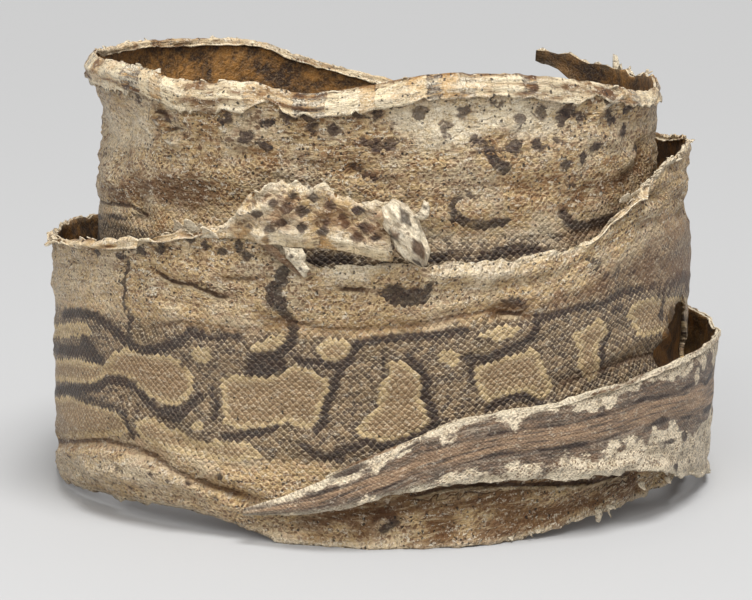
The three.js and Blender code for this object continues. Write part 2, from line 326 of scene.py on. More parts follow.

# Creases: the points of the line, its depth (below 0 is a valley), its width, and how much painted shade
# browns its bottom (below 0, less brown). The strongest get a sharp line too: painted shade above 0, and a
# painted highlight on the crest below 0.
# how strong a crease's painted shade, or below 0 its painted highlight, must be for a sharp line
DRAWN_LIGHT_AND_SHADE = 0.45
CREASES_PX = [
    ([(150, 268), (170, 283), (192, 285), (208, 293), (217, 297), (236, 298)], -1.5, 1.6, 1.0),
    ([(211, 278), (246, 280), (263, 278)], -0.9, 1.6, 0.7),
    ([(254, 292), (263, 303), (278, 309)], 1.0, 1.4, -0.6),
    ([(58, 430), (80, 437), (100, 441), (130, 448), (150, 458), (170, 470), (210, 488), (250, 500)],
     -3.0, 3.0, 0.7),
    ([(58, 440), (100, 450), (130, 457), (165, 478), (205, 496)], 1.2, 3.4, 0.25),
    ([(61, 290), (60, 330), (62, 370), (60, 400)], 0.9, 1.6, -0.5),
    ([(255, 316), (290, 322), (330, 330), (380, 328), (420, 325), (465, 316), (500, 310)], -1.7, 2.6, 0.6),
    ([(326, 291), (352, 290), (378, 292)], -1.4, 1.6, 0.9),
    ([(140, 330), (180, 322), (235, 330), (285, 326)], -1.2, 2.4, 0.5),
    ([(60, 270), (90, 262), (125, 268)], -0.9, 1.8, 0.4),
    ([(490, 316), (500, 314), (516, 314), (532, 315)], -1.4, 1.6, 1.0),
    ([(560, 385), (600, 372), (640, 352)], -1.2, 2.8, 0.6),
    ([(640, 225), (660, 210), (674, 198)], -1.3, 2.4, 0.4),
    ([(646, 200), (654, 197), (662, 199)], -1.4, 2.4, 0.4),
    ([(120, 395), (160, 425), (200, 450), (240, 470)], -1.2, 2.6, 0.3),
    ([(330, 280), (400, 277), (470, 273), (560, 270)], 0.9, 2.4, -0.3),
    ([(520, 520), (560, 510), (600, 498), (640, 488)], -1.6, 3.4, 0.5),
    ([(300, 525), (350, 515), (420, 508), (500, 500)], -1.4, 3.4, 0.5),
    ([(170, 478), (230, 500), (290, 520)], 1.2, 2.4, -0.2),
    # a painted shadow line under the tail strip's lower edge, laid on a shallow valley
    ([(400, 500), (447, 488), (480, 486), (513, 485), (567, 484), (613, 478), (638, 474)], -1.6, 2.4, 0.9),
    ([(95, 300), (120, 290), (160, 296), (200, 310)], -0.8, 2.0, 0.3),
]
INNER_CREASES_PX = [
    # The first is a real amber staining down a shallow crease, not painted shade.
    ([(133, 112), (130, 125), (134, 140), (131, 158), (134, 175)], -0.4, 4.5, 0.5),
    ([(145, 110), (158, 112), (172, 116)], -1.0, 2.0, 0.9),
    ([(160, 131), (176, 129), (186, 130)], -1.0, 1.4, 0.9),
    ([(198, 212), (240, 205), (262, 190)], -1.0, 2.4, 0.4),
    ([(120, 160), (135, 185), (140, 210)], -1.6, 4.0, 0.2),
    ([(112, 150), (116, 190), (130, 206), (150, 223)], -1.0, 1.4, 0.8),
    ([(230, 150), (300, 160), (380, 178), (470, 186), (560, 180)], -1.3, 2.6, 0.45),
    ([(380, 190), (440, 200), (520, 192), (600, 186), (640, 170)], -1.1, 2.0, 0.35),
    ([(300, 245), (400, 240), (480, 236), (560, 238), (620, 225)], -1.3, 3.4, 0.5),
    ([(626, 93), (614, 100), (604, 108), (594, 120)], 1.9, 1.4, -0.7),
    ([(640, 90), (648, 130), (640, 170)], -1.0, 2.6, 0.3),
    ([(150, 112), (160, 124), (165, 136), (176, 144), (186, 140)], 1.6, 1.3, -0.8),
    ([(142, 122), (152, 132), (160, 146)], 1.4, 1.3, -0.7),
    ([(168, 112), (178, 120), (190, 118)], 1.2, 1.2, -0.6),
    ([(560, 205), (600, 195), (630, 178)], -1.1, 2.6, 0.4),
    ([(104, 130), (112, 120), (124, 112)], 1.0, 1.6, -0.3),
]

# The torn flap: the pixels of its upper and lower outline, from left to right.
FLAP_UPPER_PX = [
    (213, 233), (226, 222), (238, 213), (244, 203), (255, 193), (267, 185), (280, 180), (292, 183),
    (300, 180), (303, 187), (317, 184), (328, 181), (336, 192), (347, 193), (356, 198), (372, 198),
    (377, 195), (384, 199),
]
FLAP_LOWER_PX = [
    (214, 236), (250, 239), (265, 242), (290, 246), (304, 247), (319, 245), (338, 248), (351, 249),
    (369, 254), (387, 260),
]
FLAP_SPOTS_PX = [
    (277, 200), (290, 206), (274, 227), (286, 220), (304, 210), (305, 225), (309, 209), (328, 219),
    (325, 229), (344, 215), (347, 221), (365, 224), (357, 235), (376, 234), (343, 241), (252, 228),
    (262, 212), (316, 196), (332, 203), (359, 208), (296, 192), (270, 238), (318, 240), (367, 247),
]
FLAP_PUFF_PX = [(244, 212), (254, 209), (264, 207), (271, 205)]
FLAP_OUT = [(238, 0.2), (242, 1.2), (246, 2.6), (250, 3.6), (256, 4.0), (264, 5.0), (271, 6.0)]
FLAP_COLUMNS = 61
FLAP_ROWS = 33
FLAP_THICKNESS = 0.63

# The flap's rolled end: its path, the tube's radius and how far out it lies at each point of the path, the
# arc of turn that its wall covers, and its dark spots (their place on it and their size).
CURL_PX = [(386, 201), (394, 212), (402, 224), (410, 238), (418, 252), (422, 264)]
CURL_RADII = [2.2, 4.6, 5.0, 4.4, 3.6, 0.8]
CURL_OUT = [4.8, 4.8, 4.6, 4.6, 4.8, 5.0]
CURL_ARC = (-35, 215)
CURL_SPOTS = [((4, 8), 2.4), ((6, 2.5), 1.8), ((10, 6.5), 2.2), ((13, 3), 1.6)]
CURL_COLUMNS = 41
CURL_ROWS = 31

SCRAPS_PX = [  # torn bits near the flap: left side, right side, how far out along them, pale, brown
    ([(286, 245), (289, 254), (295, 262), (302, 270), (306, 275)],
     [(305, 246), (309, 252), (308, 259), (312, 266), (309, 274)], [4.2, 5.6, 5.0, 5.8, 4.6], 0.9, -0.3),
    ([(262, 240), (271, 250), (282, 260), (293, 269), (306, 275)],
     [(273, 241), (283, 250), (291, 259), (301, 268), (316, 273)], [3.2, 3.4, 3.4, 3.2, 3.0], 0.0, 0.8),
    ([(412, 215), (417, 210), (420, 204), (422, 198)],
     [(421, 216), (425, 212), (427, 206), (425, 199)], [6.0, 7.2, 6.4, 6.8], 0.7, 0.0),
]
SCRAP_COLUMNS = 13
SCRAP_ROWS = 9

# Folded upper edges: from angle, to angle, how tall, how far out (below 0 is in), how crumpled, and how
# much the belly scutes show.
HEMS = [
    (436, 546, 2.6, -0.8, 0.2, 0.6),
    (532, 612, 9.4, 0.8, 0.22, 1.0),
    (604, 676, 7.6, 0.7, 0.2, 1.0),
    (668, 716, 5.5, 0.5, 0.2, 0.8),
    (184, 243, 3.0, 0.7, 0.4, 0.2),
    (306, 328, 1.6, 0.3, 0.45, 0.0),
    (352, 432, 2.0, -0.6, 0.3, 0.2),
    (-100, 16, 1.6, 0.15, 0.06, 0.0),
    (16, 176, 3.0, 0.6, 0.4, 0.2),
]

SHARDS_PX = [  # root pixel, turn, width, length, bend, whether it hangs
    ((615, 70), NECK_TURN, 5.0, 7.5, 1.0, False),
    ((622, 72), NECK_TURN, 6.5, 4.5, -1.0, False),
    ((629, 73), NECK_TURN, 5.0, 3.0, 1.0, False),
    ((625, 200), MIDDLE_TURN, 5.0, 3.0, 2.0, False),
    ((634, 197), MIDDLE_TURN, 5.0, 4.0, 3.5, False),
    ((641, 192), MIDDLE_TURN, 4.0, 3.5, 2.5, False),
    ((180, 228), MIDDLE_TURN, 5.0, 4.0, 2.0, False),
    ((190, 229), MIDDLE_TURN, 6.0, 4.5, 2.5, False),
    ((200, 232), MIDDLE_TURN, 5.0, 4.0, 2.0, False),
    ((211, 235), MIDDLE_TURN, 6.0, 4.0, 3.0, False),
    ((600, 512), LOW_FRONT, 3.5, 4.0, 1.5, True),
    ((607, 508), LOW_FRONT, 1.2, 4.5, 0.5, True),
    ((640, 484), STRIP_TURN, 3.0, 3.0, 1.0, True),
    ((668, 478), STRIP_TURN, 3.0, 2.5, 1.0, True),
]
RIM_FLAKES = [  # small torn bits on the upper rims: from angle, to angle, how many, longest
    (440, 540, 20, 2.0), (560, 606, 12, 1.6), (606, 700, 10, 1.4), (700, 760, 10, 2.2),
    (185, 245, 16, 1.8), (310, 345, 26, 2.6), (345, 430, 8, 1.4), (-60, 20, 8, 1.2), (20, 180, 20, 1.8),
]
FOOT_FLAKES = [(255, 330, 16, 1.8), (-60, 0, 12, 1.6)]  # the same on the lower edge


def srgb(r, g, b):
    """A colour of a picture, 0 to 255, as Blender's linear numbers."""
    c = np.array([r, g, b]) / 255
    c = np.where(c <= 0.04045, c / 12.92, ((c + 0.055) / 1.055) ** 2.4)
    return (*[float(x) for x in c], 1.0)


CREAM = srgb(228, 212, 180)
AMBER = srgb(186, 150, 98)
PATCH_EDGE = srgb(206, 184, 144)
PATCH_MIDDLE = srgb(162, 137, 106)
GROUND_DARK = srgb(92, 76, 65)
GROUND_LIGHT = srgb(156, 134, 106)
GROUND_OLIVE = srgb(132, 112, 76)
FLANK = srgb(210, 192, 162)
FLANK_GOLD = srgb(202, 175, 131)
FLANK_BROWN = srgb(140, 116, 92)
FLANK_PINK = srgb(196, 166, 138)
AMBER_BROWN = srgb(160, 120, 72)
DARK = srgb(60, 49, 46)
DARK_RED = srgb(72, 52, 42)
SPOT = srgb(72, 56, 50)
SPOT_PALE = srgb(106, 84, 70)
BLACK = srgb(44, 34, 28)
BROWN = srgb(104, 80, 52)
# the brown of stains, and of painted shade in the creases, under the tail strip and at the right-hand end
STAIN_AND_SHADE_BROWN = srgb(116, 80, 44)
SCUTE_GAP = srgb(98, 68, 42)
TAIL_GREY = srgb(98, 86, 79)
TAIL_BROWN = srgb(146, 124, 104)
TAIL_LIGHT = srgb(182, 168, 150)
TAIL_CREAM = srgb(240, 226, 202)
STRIPE_BROWN = srgb(180, 153, 126)
WHITE = srgb(240, 232, 214)
# a faint pale rim of the scales, and the painted highlight on it
NET_PALE_AND_HIGHLIGHT = srgb(226, 208, 176)
NET_BROWN = srgb(108, 80, 54)
# painted shade in the gap under each scale's rim
GAP_SHADE = srgb(72, 56, 44)
# painted shade at the bottom of the creases
CREASE_SHADE = srgb(74, 50, 28)
INSIDE_DARK = srgb(58, 36, 16)
INSIDE_AMBER = srgb(168, 118, 54)
INSIDE_PALE = srgb(160, 132, 92)
FOLD_SHADE = (0.42, 0.34, 0.26, 1.0)  # what the shade of the long folds leaves of a colour
CONTRAST = 1.25  # of the outside: the power and the factor put on its colour at the end
LIFT = 1.2
SPECULAR = 0.45
FLOOR_GREY = srgb(181, 181, 181)
FLOOR_REACH = 12.0
SURROUND_GREY = srgb(240, 240, 240)
SURROUND_STRENGTH = 0.52


# ---------------------------------------------------------------- curves and noise
# The last number given to noise is its seed.


def along(table, x):
    """A smooth curve through a table of (x, y) rows, read at x."""
    xs, ys = np.array(table, float).T
    last = len(xs) - 1
    before = np.maximum(np.arange(last + 1) - 1, 0)
    after = np.minimum(np.arange(last + 1) + 1, last)
    slope = (ys[after] - ys[before]) / (xs[after] - xs[before])
    x = np.clip(x, xs[0], xs[-1])
    i = np.clip(np.searchsorted(xs, x, side="right") - 1, 0, last - 1)
    h = xs[i + 1] - xs[i]
    u = (x - xs[i]) / h
    return (
        (2 * u**3 - 3 * u**2 + 1) * ys[i]
        + (u**3 - 2 * u**2 + u) * h * slope[i]
        + (3 * u**2 - 2 * u**3) * ys[i + 1]
        + (u**3 - u**2) * h * slope[i + 1]
    )


def ramp(x, low, high):
    """0 below low, 1 above high, smooth between."""
    t = np.clip((x - low) / (high - low), 0, 1)
    return t * t * (3 - 2 * t)


def noise(x, y, seed):
    """Smooth noise from -1 to 1 with one lump to the unit."""
    table = np.random.default_rng(seed).uniform(-1, 1, (256, 256))
    xi = np.floor(x).astype(int)
    yi = np.floor(y).astype(int)
    fx = x - xi
    fy = y - yi
    fx = fx**3 * (fx * (fx * 6 - 15) + 10)
    fy = fy**3 * (fy * (fy * 6 - 15) + 10)
    low = table[xi % 256, yi % 256] * (1 - fx) + table[(xi + 1) % 256, yi % 256] * fx
    high = table[xi % 256, (yi + 1) % 256] * (1 - fx) + table[(xi + 1) % 256, (yi + 1) % 256] * fx
    return low * (1 - fy) + high * fy


# ---------------------------------------------------------------- the roll


def plan(angle):
    """The sheet's line in plan, as (..., 2)."""
    a = np.radians(angle)
    x = np.abs(np.cos(a) / HALF_WIDTH) ** SQUARENESS
    y = np.abs(np.sin(a) / HALF_DEPTH) ** SQUARENESS
    r = (x + y) ** (-1 / SQUARENESS) - along(INSET, angle)
    return np.stack([r * np.cos(a), r * np.sin(a)], -1)


def outward(angle):
    """The direction out of the roll, square to the sheet in plan."""
    t = plan(angle + 0.5) - plan(angle - 0.5)
    t /= np.linalg.norm(t, axis=-1, keepdims=True)
    return np.stack([t[..., 1], -t[..., 0]], -1)


def lower_edge(angle):
    return np.maximum(0, along(LOWER_EDGE, angle))


def shape_relief(angle, height):
    """How far the wall stands out from the plan's line, as in the CAD model."""
    low = lower_edge(angle)
    high = along(UPPER_EDGE, angle)
    out = np.zeros(np.broadcast(angle, height).shape)
    for at, up, wide, tall, far in BUMPS:
        out = out + far * np.exp(-(((angle - at) / wide) ** 2) - ((height - up) / tall) ** 2)
    middle = np.clip((2 * height - low - high) / (high - low), -1, 1)
    out = out + STRIP["out"] * (1 - middle**2) * (1 - ramp(angle, STRIP["from"], STRIP["to"]))
    low_part = np.clip(1 - (height - low) / FLARE_HEIGHT, 0, 1)
    out = out + along(FLARE, angle) * low_part**2
    turned = ramp(angle, TUCK["from"], TUCK["from"] + 20) * (1 - ramp(angle, TUCK["to"] - 20, TUCK["to"]))
    under = np.clip(1 - (height - low) / TUCK["height"], 0, 1)
    out = out - TUCK["inward"] * turned * under**2
    rolled = ramp(angle, RIM["from"], RIM["from"] + 12) * (1 - ramp(angle, RIM["to"] - 12, RIM["to"]))
    below = np.clip((high - height) / RIM["tall"], 0, 1)
    return out + RIM["out"] * rolled * np.sin(np.pi * below)


def wall(angle, height, out):
    """Points of the wall in the roll's own frame, as (..., 3)."""
    p = plan(angle) + outward(angle) * out[..., None]
    return np.concatenate([p, height[..., None]], -1)


def shaped_wall(angle, height, out=0.0):
    """Points that stand out from the wall, which has its bumps, its flare and its rolled rim."""
    return wall(angle, height, shape_relief(angle, height) + out)


ARC_ANGLES = np.linspace(TAIL_ANGLE, NECK_ANGLE + 3, 3537)
ARC_LENGTHS = np.concatenate(
    [[0], np.cumsum(np.linalg.norm(np.diff(plan(ARC_ANGLES), axis=0), axis=1))]
)
SHEET_LENGTH = float(ARC_LENGTHS[-1])


def distance_along(angle):
    """s at an angle: millimetres along the sheet from the tail tip."""
    return np.interp(angle, ARC_ANGLES, ARC_LENGTHS)


def angle_at(s):
    return np.interp(s, ARC_LENGTHS, ARC_ANGLES)


def skin_place(angle, height):
    """(s, v) of places on the wall."""
    return np.stack([distance_along(angle), height - along(BACK_LINE, angle)], -1)


# ---------------------------------------------------------------- from the photograph to the wall


def project(points):
    """Pixels of points in the roll's own frame."""
    c, s = np.cos(CAMERA_PITCH), np.sin(CAMERA_PITCH)
    rel = points - CAMERA_PLACE
    depth = rel @ np.array([0, c, -s])
    x = IMAGE[0] / 2 + FOCAL_PX * rel[..., 0] / depth
    y = IMAGE[1] / 2 - FOCAL_PX * (rel @ np.array([0, s, c])) / depth
    return np.stack([x, y], -1)


def wall_under(pixels, turn):
    """(angles, heights) of the wall that some pixels show, on one turn of the roll."""
    found = []
    for pixel in np.array(pixels, float):
        angle, height = np.mean(turn), 75.0
        wide, tall = (turn[1] - turn[0]) / 2, 80.0
        for _ in range(9):
            a = np.clip(np.linspace(angle - wide, angle + wide, 21), *turn)
            h = np.linspace(height - tall, height + tall, 21)
            a, h = np.meshgrid(a, h)
            gap = np.linalg.norm(project(shaped_wall(a, h)) - pixel, axis=-1)
            best = np.unravel_index(gap.argmin(), gap.shape)
            angle, height = a[best], h[best]
            wide, tall = wide / 2.5, tall / 2.5
        found.append((angle, height))
    return np.array(found).T


def skin_under(pixels, turn):
    """(s, v) of the skin that some pixels show."""
    return skin_place(*wall_under(pixels, turn))


# ---------------------------------------------------------------- distance fields


def inside_polygon(points, corners):
    """The distance from (..., 2) points to a polygon's edge, above 0 inside it."""
    distance = np.full(points.shape[:-1], np.inf)
    crossings = np.zeros(points.shape[:-1], bool)
    for a, b in zip(corners, np.roll(corners, -1, axis=0)):
        distance = np.minimum(distance, from_segment(points, a, b))
        spans = (a[1] > points[..., 1]) != (b[1] > points[..., 1])
        rise = b[1] - a[1] if b[1] != a[1] else 1e-9
        left = points[..., 0] < a[0] + (points[..., 1] - a[1]) * (b[0] - a[0]) / rise
        crossings ^= spans & left
    return np.where(crossings, distance, -distance)


def from_segment(points, a, b):
    """The distance from points to the line between a and b."""
    d = b - a
    t = np.clip(((points - a) @ d) / max(d @ d, 1e-9), 0, 1)
    return np.linalg.norm(points - a - t[..., None] * d, axis=-1)


def from_line(points, line):
    """The distance from points to a line of several points."""
    distance = np.full(points.shape[:-1], np.inf)
    for a, b in zip(line[:-1], line[1:]):
        distance = np.minimum(distance, from_segment(points, a, b))
    return distance


def side_of_line(points, line):
    """The distance from points to a line, below 0 under it, their place along it, and the line's length."""
    distance = np.full(points.shape[:-1], np.inf)
    signed = np.zeros(points.shape[:-1])
    place = np.zeros(points.shape[:-1])
    start = 0.0
    for a, b in zip(line[:-1], line[1:]):
        d = b - a
        length = max(float(np.hypot(*d)), 1e-6)
        t = np.clip(((points - a) @ d) / length**2, 0, 1)
        here = np.linalg.norm(points - a - t[..., None] * d, axis=-1)
        above = d[0] * (points[..., 1] - a[1]) - d[1] * (points[..., 0] - a[0])
        side = np.sign(above) * np.sign(d[0] + 1e-9)
        closer = here < distance
        distance = np.where(closer, here, distance)
        signed = np.where(closer, here * side, signed)
        place = np.where(closer, start + t * length, place)
        start += length
    return signed, place, start


FAR = 8.0  # distances are not followed beyond this


def add_shape(field, places, shape, measure):
    """Raises field to measure(places, shape) on the part of the skin near the shape."""
    low = shape.min(0) - FAR
    high = shape.max(0) + FAR
    near = ((places > low) & (places < high)).all(-1)
    if near.any():
        field[near] = np.maximum(field[near], measure(places[near], shape))


def add_polygon(field, places, corners):
    add_shape(field, places, corners, inside_polygon)


def add_line(field, places, line, width):
    add_shape(field, places, line, lambda p, shape: width / 2 - from_line(p, shape))


def add_spot(field, places, centre, size):
    """A diamond the shape of a scale, size across its flats."""
    def measure(p, shape):
        d = np.abs(p - shape[0])
        return (size - d[:, 0] - 1.15 * d[:, 1]) * 0.75

    add_shape(field, places, np.array([centre]), measure)


# ---------------------------------------------------------------- the pattern of the skin


def hidden(s, v):
    """Whether a place of the skin is one that the photograph doesn't show."""
    angle = angle_at(s)
    height = v + along(BACK_LINE, angle)
    middle = (angle > MIDDLE_SHOWN[0]) & (angle < MIDDLE_SHOWN[1])
    inner = (angle > INNER_SHOWN[0]) & (angle < INNER_SHOWN[1]) & (height > INNER_SHOWN_ABOVE)
    return ~(middle | inner | (angle < STRIP_SHOWN_TO))


def blotch(rng, centre, half_long, half_tall):
    """An uneven rounded outline."""
    turns = np.linspace(0, 2 * np.pi, 17)[:-1]
    reach = 1 + rng.uniform(-0.34, 0.34, len(turns))
    x = np.sign(np.cos(turns)) * np.abs(np.cos(turns)) ** 0.7 * half_long * reach
    y = np.sign(np.sin(turns)) * np.abs(np.sin(turns)) ** 0.7 * half_tall * reach
    return np.stack([centre[0] + x, centre[1] + y], -1)


def hidden_patches(rng):
    """Pale patches for the skin that the photograph doesn't show."""
    shapes = []
    s = HIDDEN_PATCHES_START
    while s < SHEET_LENGTH:
        girth = along(HALF_GIRTH, angle_at(s))
        v = rng.uniform(-4, 4) * girth / USUAL_GIRTH
        size = girth / USUAL_GIRTH
        shape = blotch(rng, (s, v), rng.uniform(9, 17) * size, rng.uniform(7, 13) * size)
        if hidden(s, v):
            shapes.append(shape)
        for side in (-1, 1):
            v = side * rng.uniform(18, 27) * size
            at = s + rng.uniform(4, 22) * size
            if hidden(at, v) and rng.uniform() < 0.8:
                shapes.append(blotch(rng, (at, v), rng.uniform(4, 11) * size, rng.uniform(2.5, 5) * size))
        s += rng.uniform(28, 44) * size
    return shapes


def hidden_lines(rng):
    """Dark lines for the skin that the photograph doesn't show."""
    lines = []
    s = HIDDEN_LINES_START
    while s < SHEET_LENGTH:
        size = along(HALF_GIRTH, angle_at(s)) / USUAL_GIRTH
        for side in (-1, 1):
            v = side * rng.uniform(14, 19) * size
            steps = np.linspace(0, rng.uniform(26, 40), 5) * size
            line = np.stack([s + steps, v + rng.uniform(-3.2, 3.2, 5) * size], -1)
            if hidden(*line[0]) and hidden(*line[-1]):
                lines.append((line, rng.uniform(2.0, 4.2) * size))
            if rng.uniform() < 0.75 and hidden(s + 10, v + side * 20):
                steps = np.linspace(0, 1, 6)
                across = side * steps * rng.uniform(8, 20) * size
                line = np.stack([s + np.cumsum(rng.uniform(-2.5, 2.5, 6)), v + across], -1)
                lines.append((line, rng.uniform(1.8, 3.4) * size))
            if rng.uniform() < 0.35:
                turn = np.linspace(0.6, np.pi + 0.6, 7) + rng.uniform(-0.5, 0.5)
                centre = (s + rng.uniform(8, 20), side * rng.uniform(30, 38) * size)
                if hidden(*centre):
                    x = centre[0] - rng.uniform(7, 12) * np.cos(turn) * size
                    y = centre[1] + rng.uniform(3, 6) * np.sin(turn) * size
                    lines.append((np.stack([x, y], -1), rng.uniform(2.0, 3.6) * size))
        s += rng.uniform(20, 34) * size
    return lines


def hidden_spots(rng):
    """Rows of dark scales near the belly, for the skin that the photograph doesn't show."""
    spots = []
    for s in np.arange(HIDDEN_SPOTS_START, SHEET_LENGTH, SCUTE_LENGTH):
        girth = along(HALF_GIRTH, angle_at(s))
        for side in (-1, 1):
            for share in (0.74, 0.84, 0.93):
                at = s + rng.uniform(-2, 2)
                v = side * girth * (share + rng.uniform(-0.03, 0.03))
                if rng.uniform() < 0.3 and hidden(at, v):
                    spots.append((at, v))
    return spots


def pattern(places):
    """(patch, dark) fields in millimetres, above 0 inside the pale patches and the dark marks."""
    rng = np.random.default_rng(11)
    patch = np.full(places.shape[:-1], -FAR)
    dark = np.full(places.shape[:-1], -FAR)
    for outline in PATCHES_PX.values():
        add_polygon(patch, places, skin_under(outline, MIDDLE_TURN))
    for outline in hidden_patches(rng):
        add_polygon(patch, places, outline)
    for turn, lines in ((MIDDLE_TURN, DARK_LINES_PX), (INNER_TURN, INNER_DARK_LINES_PX)):
        for line, width in lines:
            add_line(dark, places, skin_under(line, turn), width)
    for outline in DARK_BLOTS_PX:
        add_polygon(dark, places, skin_under(outline, MIDDLE_TURN))
    for line, width in hidden_lines(rng):
        add_line(dark, places, line, width)
    for turn, spots, size in (
        (INNER_TURN, INNER_SPOTS_PX, 2.9),
        (MIDDLE_TURN, RIM_SPOTS_PX, 2.3),
        (MIDDLE_TURN, LOW_SPOTS_PX, 1.3),
    ):
        for centre in skin_under(spots, turn):
            add_spot(dark, places, centre, size)
    for centre in hidden_spots(rng):
        add_spot(dark, places, centre, 1.8)
    return patch, dark


def tail_stripes(places):
    """The tail's cream margins, with scalloped edges: above 0 in its darker middle. And its dark lines."""
    s, v = places[..., 0], places[..., 1]
    half = along(HALF_GIRTH, angle_at(s))
    side = np.sign(v) * 5.0
    q = np.abs(v / half)
    scallops = 0.24 * noise(s / 8, v / 6, 21) + 0.18 * noise(s / 3.6, v / 3.2, 22)
    wide = np.where(v > 0, 0.52, 0.56 - 0.2 * ramp(s, *TAIL_NARROWS))
    middle = (wide + scallops - q) * half
    line = 0.05 * (0.25 + noise(s / 9, side, 19)) - np.abs(q - 0.25 - 0.06 * noise(s / 9, side, 23))
    marks = 0.2 * (noise(s / 5, v / 3, 18) + 0.4 * noise(s / 11, side, 20) - 0.85 - ramp(s, 160, 215))
    dark = np.maximum(line, np.where(q > 0.5, marks, -1)) * half
    return middle, np.where(s < TAIL_FADES[1], dark - ramp(s, *TAIL_FADES) * FAR, -FAR)


# ---------------------------------------------------------------- relief of the sheet


def all_creases():
    """Every crease, as its line on the skin, its depth, its width and its painted shade (below 0, painted
    highlight).
    """
    for turn, creases in ((MIDDLE_TURN, CREASES_PX), (INNER_TURN, INNER_CREASES_PX)):
        for line, *looks in creases:
            yield skin_under(line, turn), *looks


def crease_relief(places):
    """How far the creases stand out, and the brown that painted shade gives the skin along them (below 0 it
    takes brown away).
    """
    relief = np.zeros(places.shape[:-1])
    brown = np.zeros(places.shape[:-1])
    for line, depth, width, stain_and_painted_light in all_creases():
        field = np.full(places.shape[:-1], -FAR * 2.0)
        add_shape(field, places, line, lambda p, shape: -from_line(p, shape))
        strayed = field + 0.5 * noise(places[..., 0] / 4, places[..., 1] / 4, 37)
        relief += depth * np.exp(-((strayed / width) ** 2))
        # painted shade browns the skin along the crease
        brown += stain_and_painted_light * np.exp(-((strayed / (0.55 * width)) ** 2))
    return relief, brown


def crease_lines(places):
    """The lines of the creases with the strongest painted light: the distance to the nearest one, and how
    dark its painted shade is (below 0, how pale its painted highlight).
    """
    distance = np.full(places.shape[:-1], FAR)
    strength = np.zeros(places.shape[:-1])
    for line, _, _, stain_and_painted_light in all_creases():
        if abs(stain_and_painted_light) < DRAWN_LIGHT_AND_SHADE:
            continue
        near = ((places > line.min(0) - FAR) & (places < line.max(0) + FAR)).all(-1)
        signed, place, length = side_of_line(places[near], line)
        ends = ramp(np.minimum(place, length - place), 0, 6)
        closer = np.abs(signed) < np.abs(distance[near])
        distance[near] = np.where(closer, signed, distance[near])
        fade = ends * (1 - ramp(np.abs(signed), 2.6, 5.0))
        strength[near] = np.where(closer, stain_and_painted_light * fade, strength[near])
    return np.stack([distance, strength, np.zeros(distance.shape)], -1)


def wave_relief(angle, height):
    """The dried skin's own unevenness: long waves, wrinkles and small crumples, calmer near the top."""
    s, v = np.moveaxis(skin_place(angle, height), -1, 0)
    calm = 1 - 0.4 * ramp(angle, -114, -90) * (1 - ramp(angle, -20, 10))
    rim = ramp(height - along(UPPER_EDGE, angle), -18, -8) * ramp(angle, 380, 420)
    s = s + 2.5 * noise(s / 15, v / 12, 30)
    v = v + 1.8 * noise(s / 22, v / 14, 35)
    waves = 0.9 * noise(s / 42, v / 17, 31) + 0.6 * noise(s / 17, v / 7, 32) * (1 - 0.85 * rim)
    wrinkles = 0.6 * noise(s / 13, v / 3.2, 33) + 0.4 * noise(s / 5.2, v / 2.6, 34)
    ridges = 0.6 * (0.4 - np.abs(noise(s / 16, v / 5.5, 36)))
    flank = ramp(np.abs(v) / along(HALF_GIRTH, angle), 0.35, 0.65)
    return calm * (waves + (wrinkles + ridges) * (0.4 + 1.1 * flank) * (1 - 0.88 * rim))


def strip_lift(angle, height, low):
    """The tail's lower edge stands off the turn behind it, and its middle is rounded like a tube."""
    on_strip = ramp(angle, -113, -98) * (1 - ramp(angle, -12, 12))
    half = along(HALF_GIRTH, angle)
    across = (height - along(BACK_LINE, angle)) / half
    tube = 3.0 * np.sqrt(np.clip(1 - across**2, 0, 1)) * (1 - ramp(angle, -92, -50))
    pinch = 1.3 * np.exp(-(((angle - PINCH_ANGLE - 1.5 * across) / 1.7) ** 2))
    off = 4.2 * np.exp(-(((height - low) / 6.0) ** 2)) * (1 - ramp(angle, -48, -22))
    return on_strip * (off + tube - pinch)


def rim_relief(angle, height, low, high):
    """Crumpling of the cut and torn edges."""
    s = distance_along(angle)
    top = np.exp(-(((high - height) / 3.2) ** 2))
    foot = np.exp(-(((height - low) / 3.0) ** 2))
    calm = 1 - 0.6 * ramp(angle, 440, 470)
    top_noise = 0.6 * noise(s / 5.5, height / 4, 41) + 0.35 * noise(s / 2.6, height / 2.5, 42)
    foot_noise = 1.3 * noise(s / 8, height / 4, 43) + 0.4 * noise(s / 3, height / 3, 44)
    return calm * top * top_noise + foot * foot_noise


def torn(angle, seed, coarse, fine):
    """How far a torn edge strays from its line."""
    s = distance_along(angle)
    teeth = np.abs(noise(s / 2.7, s * 0 + 1, seed)) ** 0.7
    nicks = ramp(noise(s / 6.5, s * 0 + 2, seed + 7), 0.25, 0.75)
    return coarse * noise(s / 11, s * 0, seed + 1) + fine * (teeth - 0.5) * 2 - 1.6 * fine * nicks


# ---------------------------------------------------------------- meshes


def column_angles():
    """Angles of the mesh's columns, closer together at the front."""
    a = ARC_ANGLES[ARC_ANGLES <= NECK_ANGLE]
    facing = ramp(-np.sin(np.radians(a)), -0.35, 0.1)
    density = 1 + (FRONT_DENSITY - 1) * facing
    steps = np.diff(distance_along(a)) * (density[1:] + density[:-1]) / 2
    count = np.concatenate([[0], np.cumsum(steps)])
    return np.interp(np.linspace(0, count[-1], COLUMNS), count, a)


def row_shares():
    """Shares of the way from the lower to the upper edge, closer together near both."""
    t = np.linspace(0, 1, ROWS)
    return t - 0.35 * np.sin(2 * np.pi * t) / (2 * np.pi)


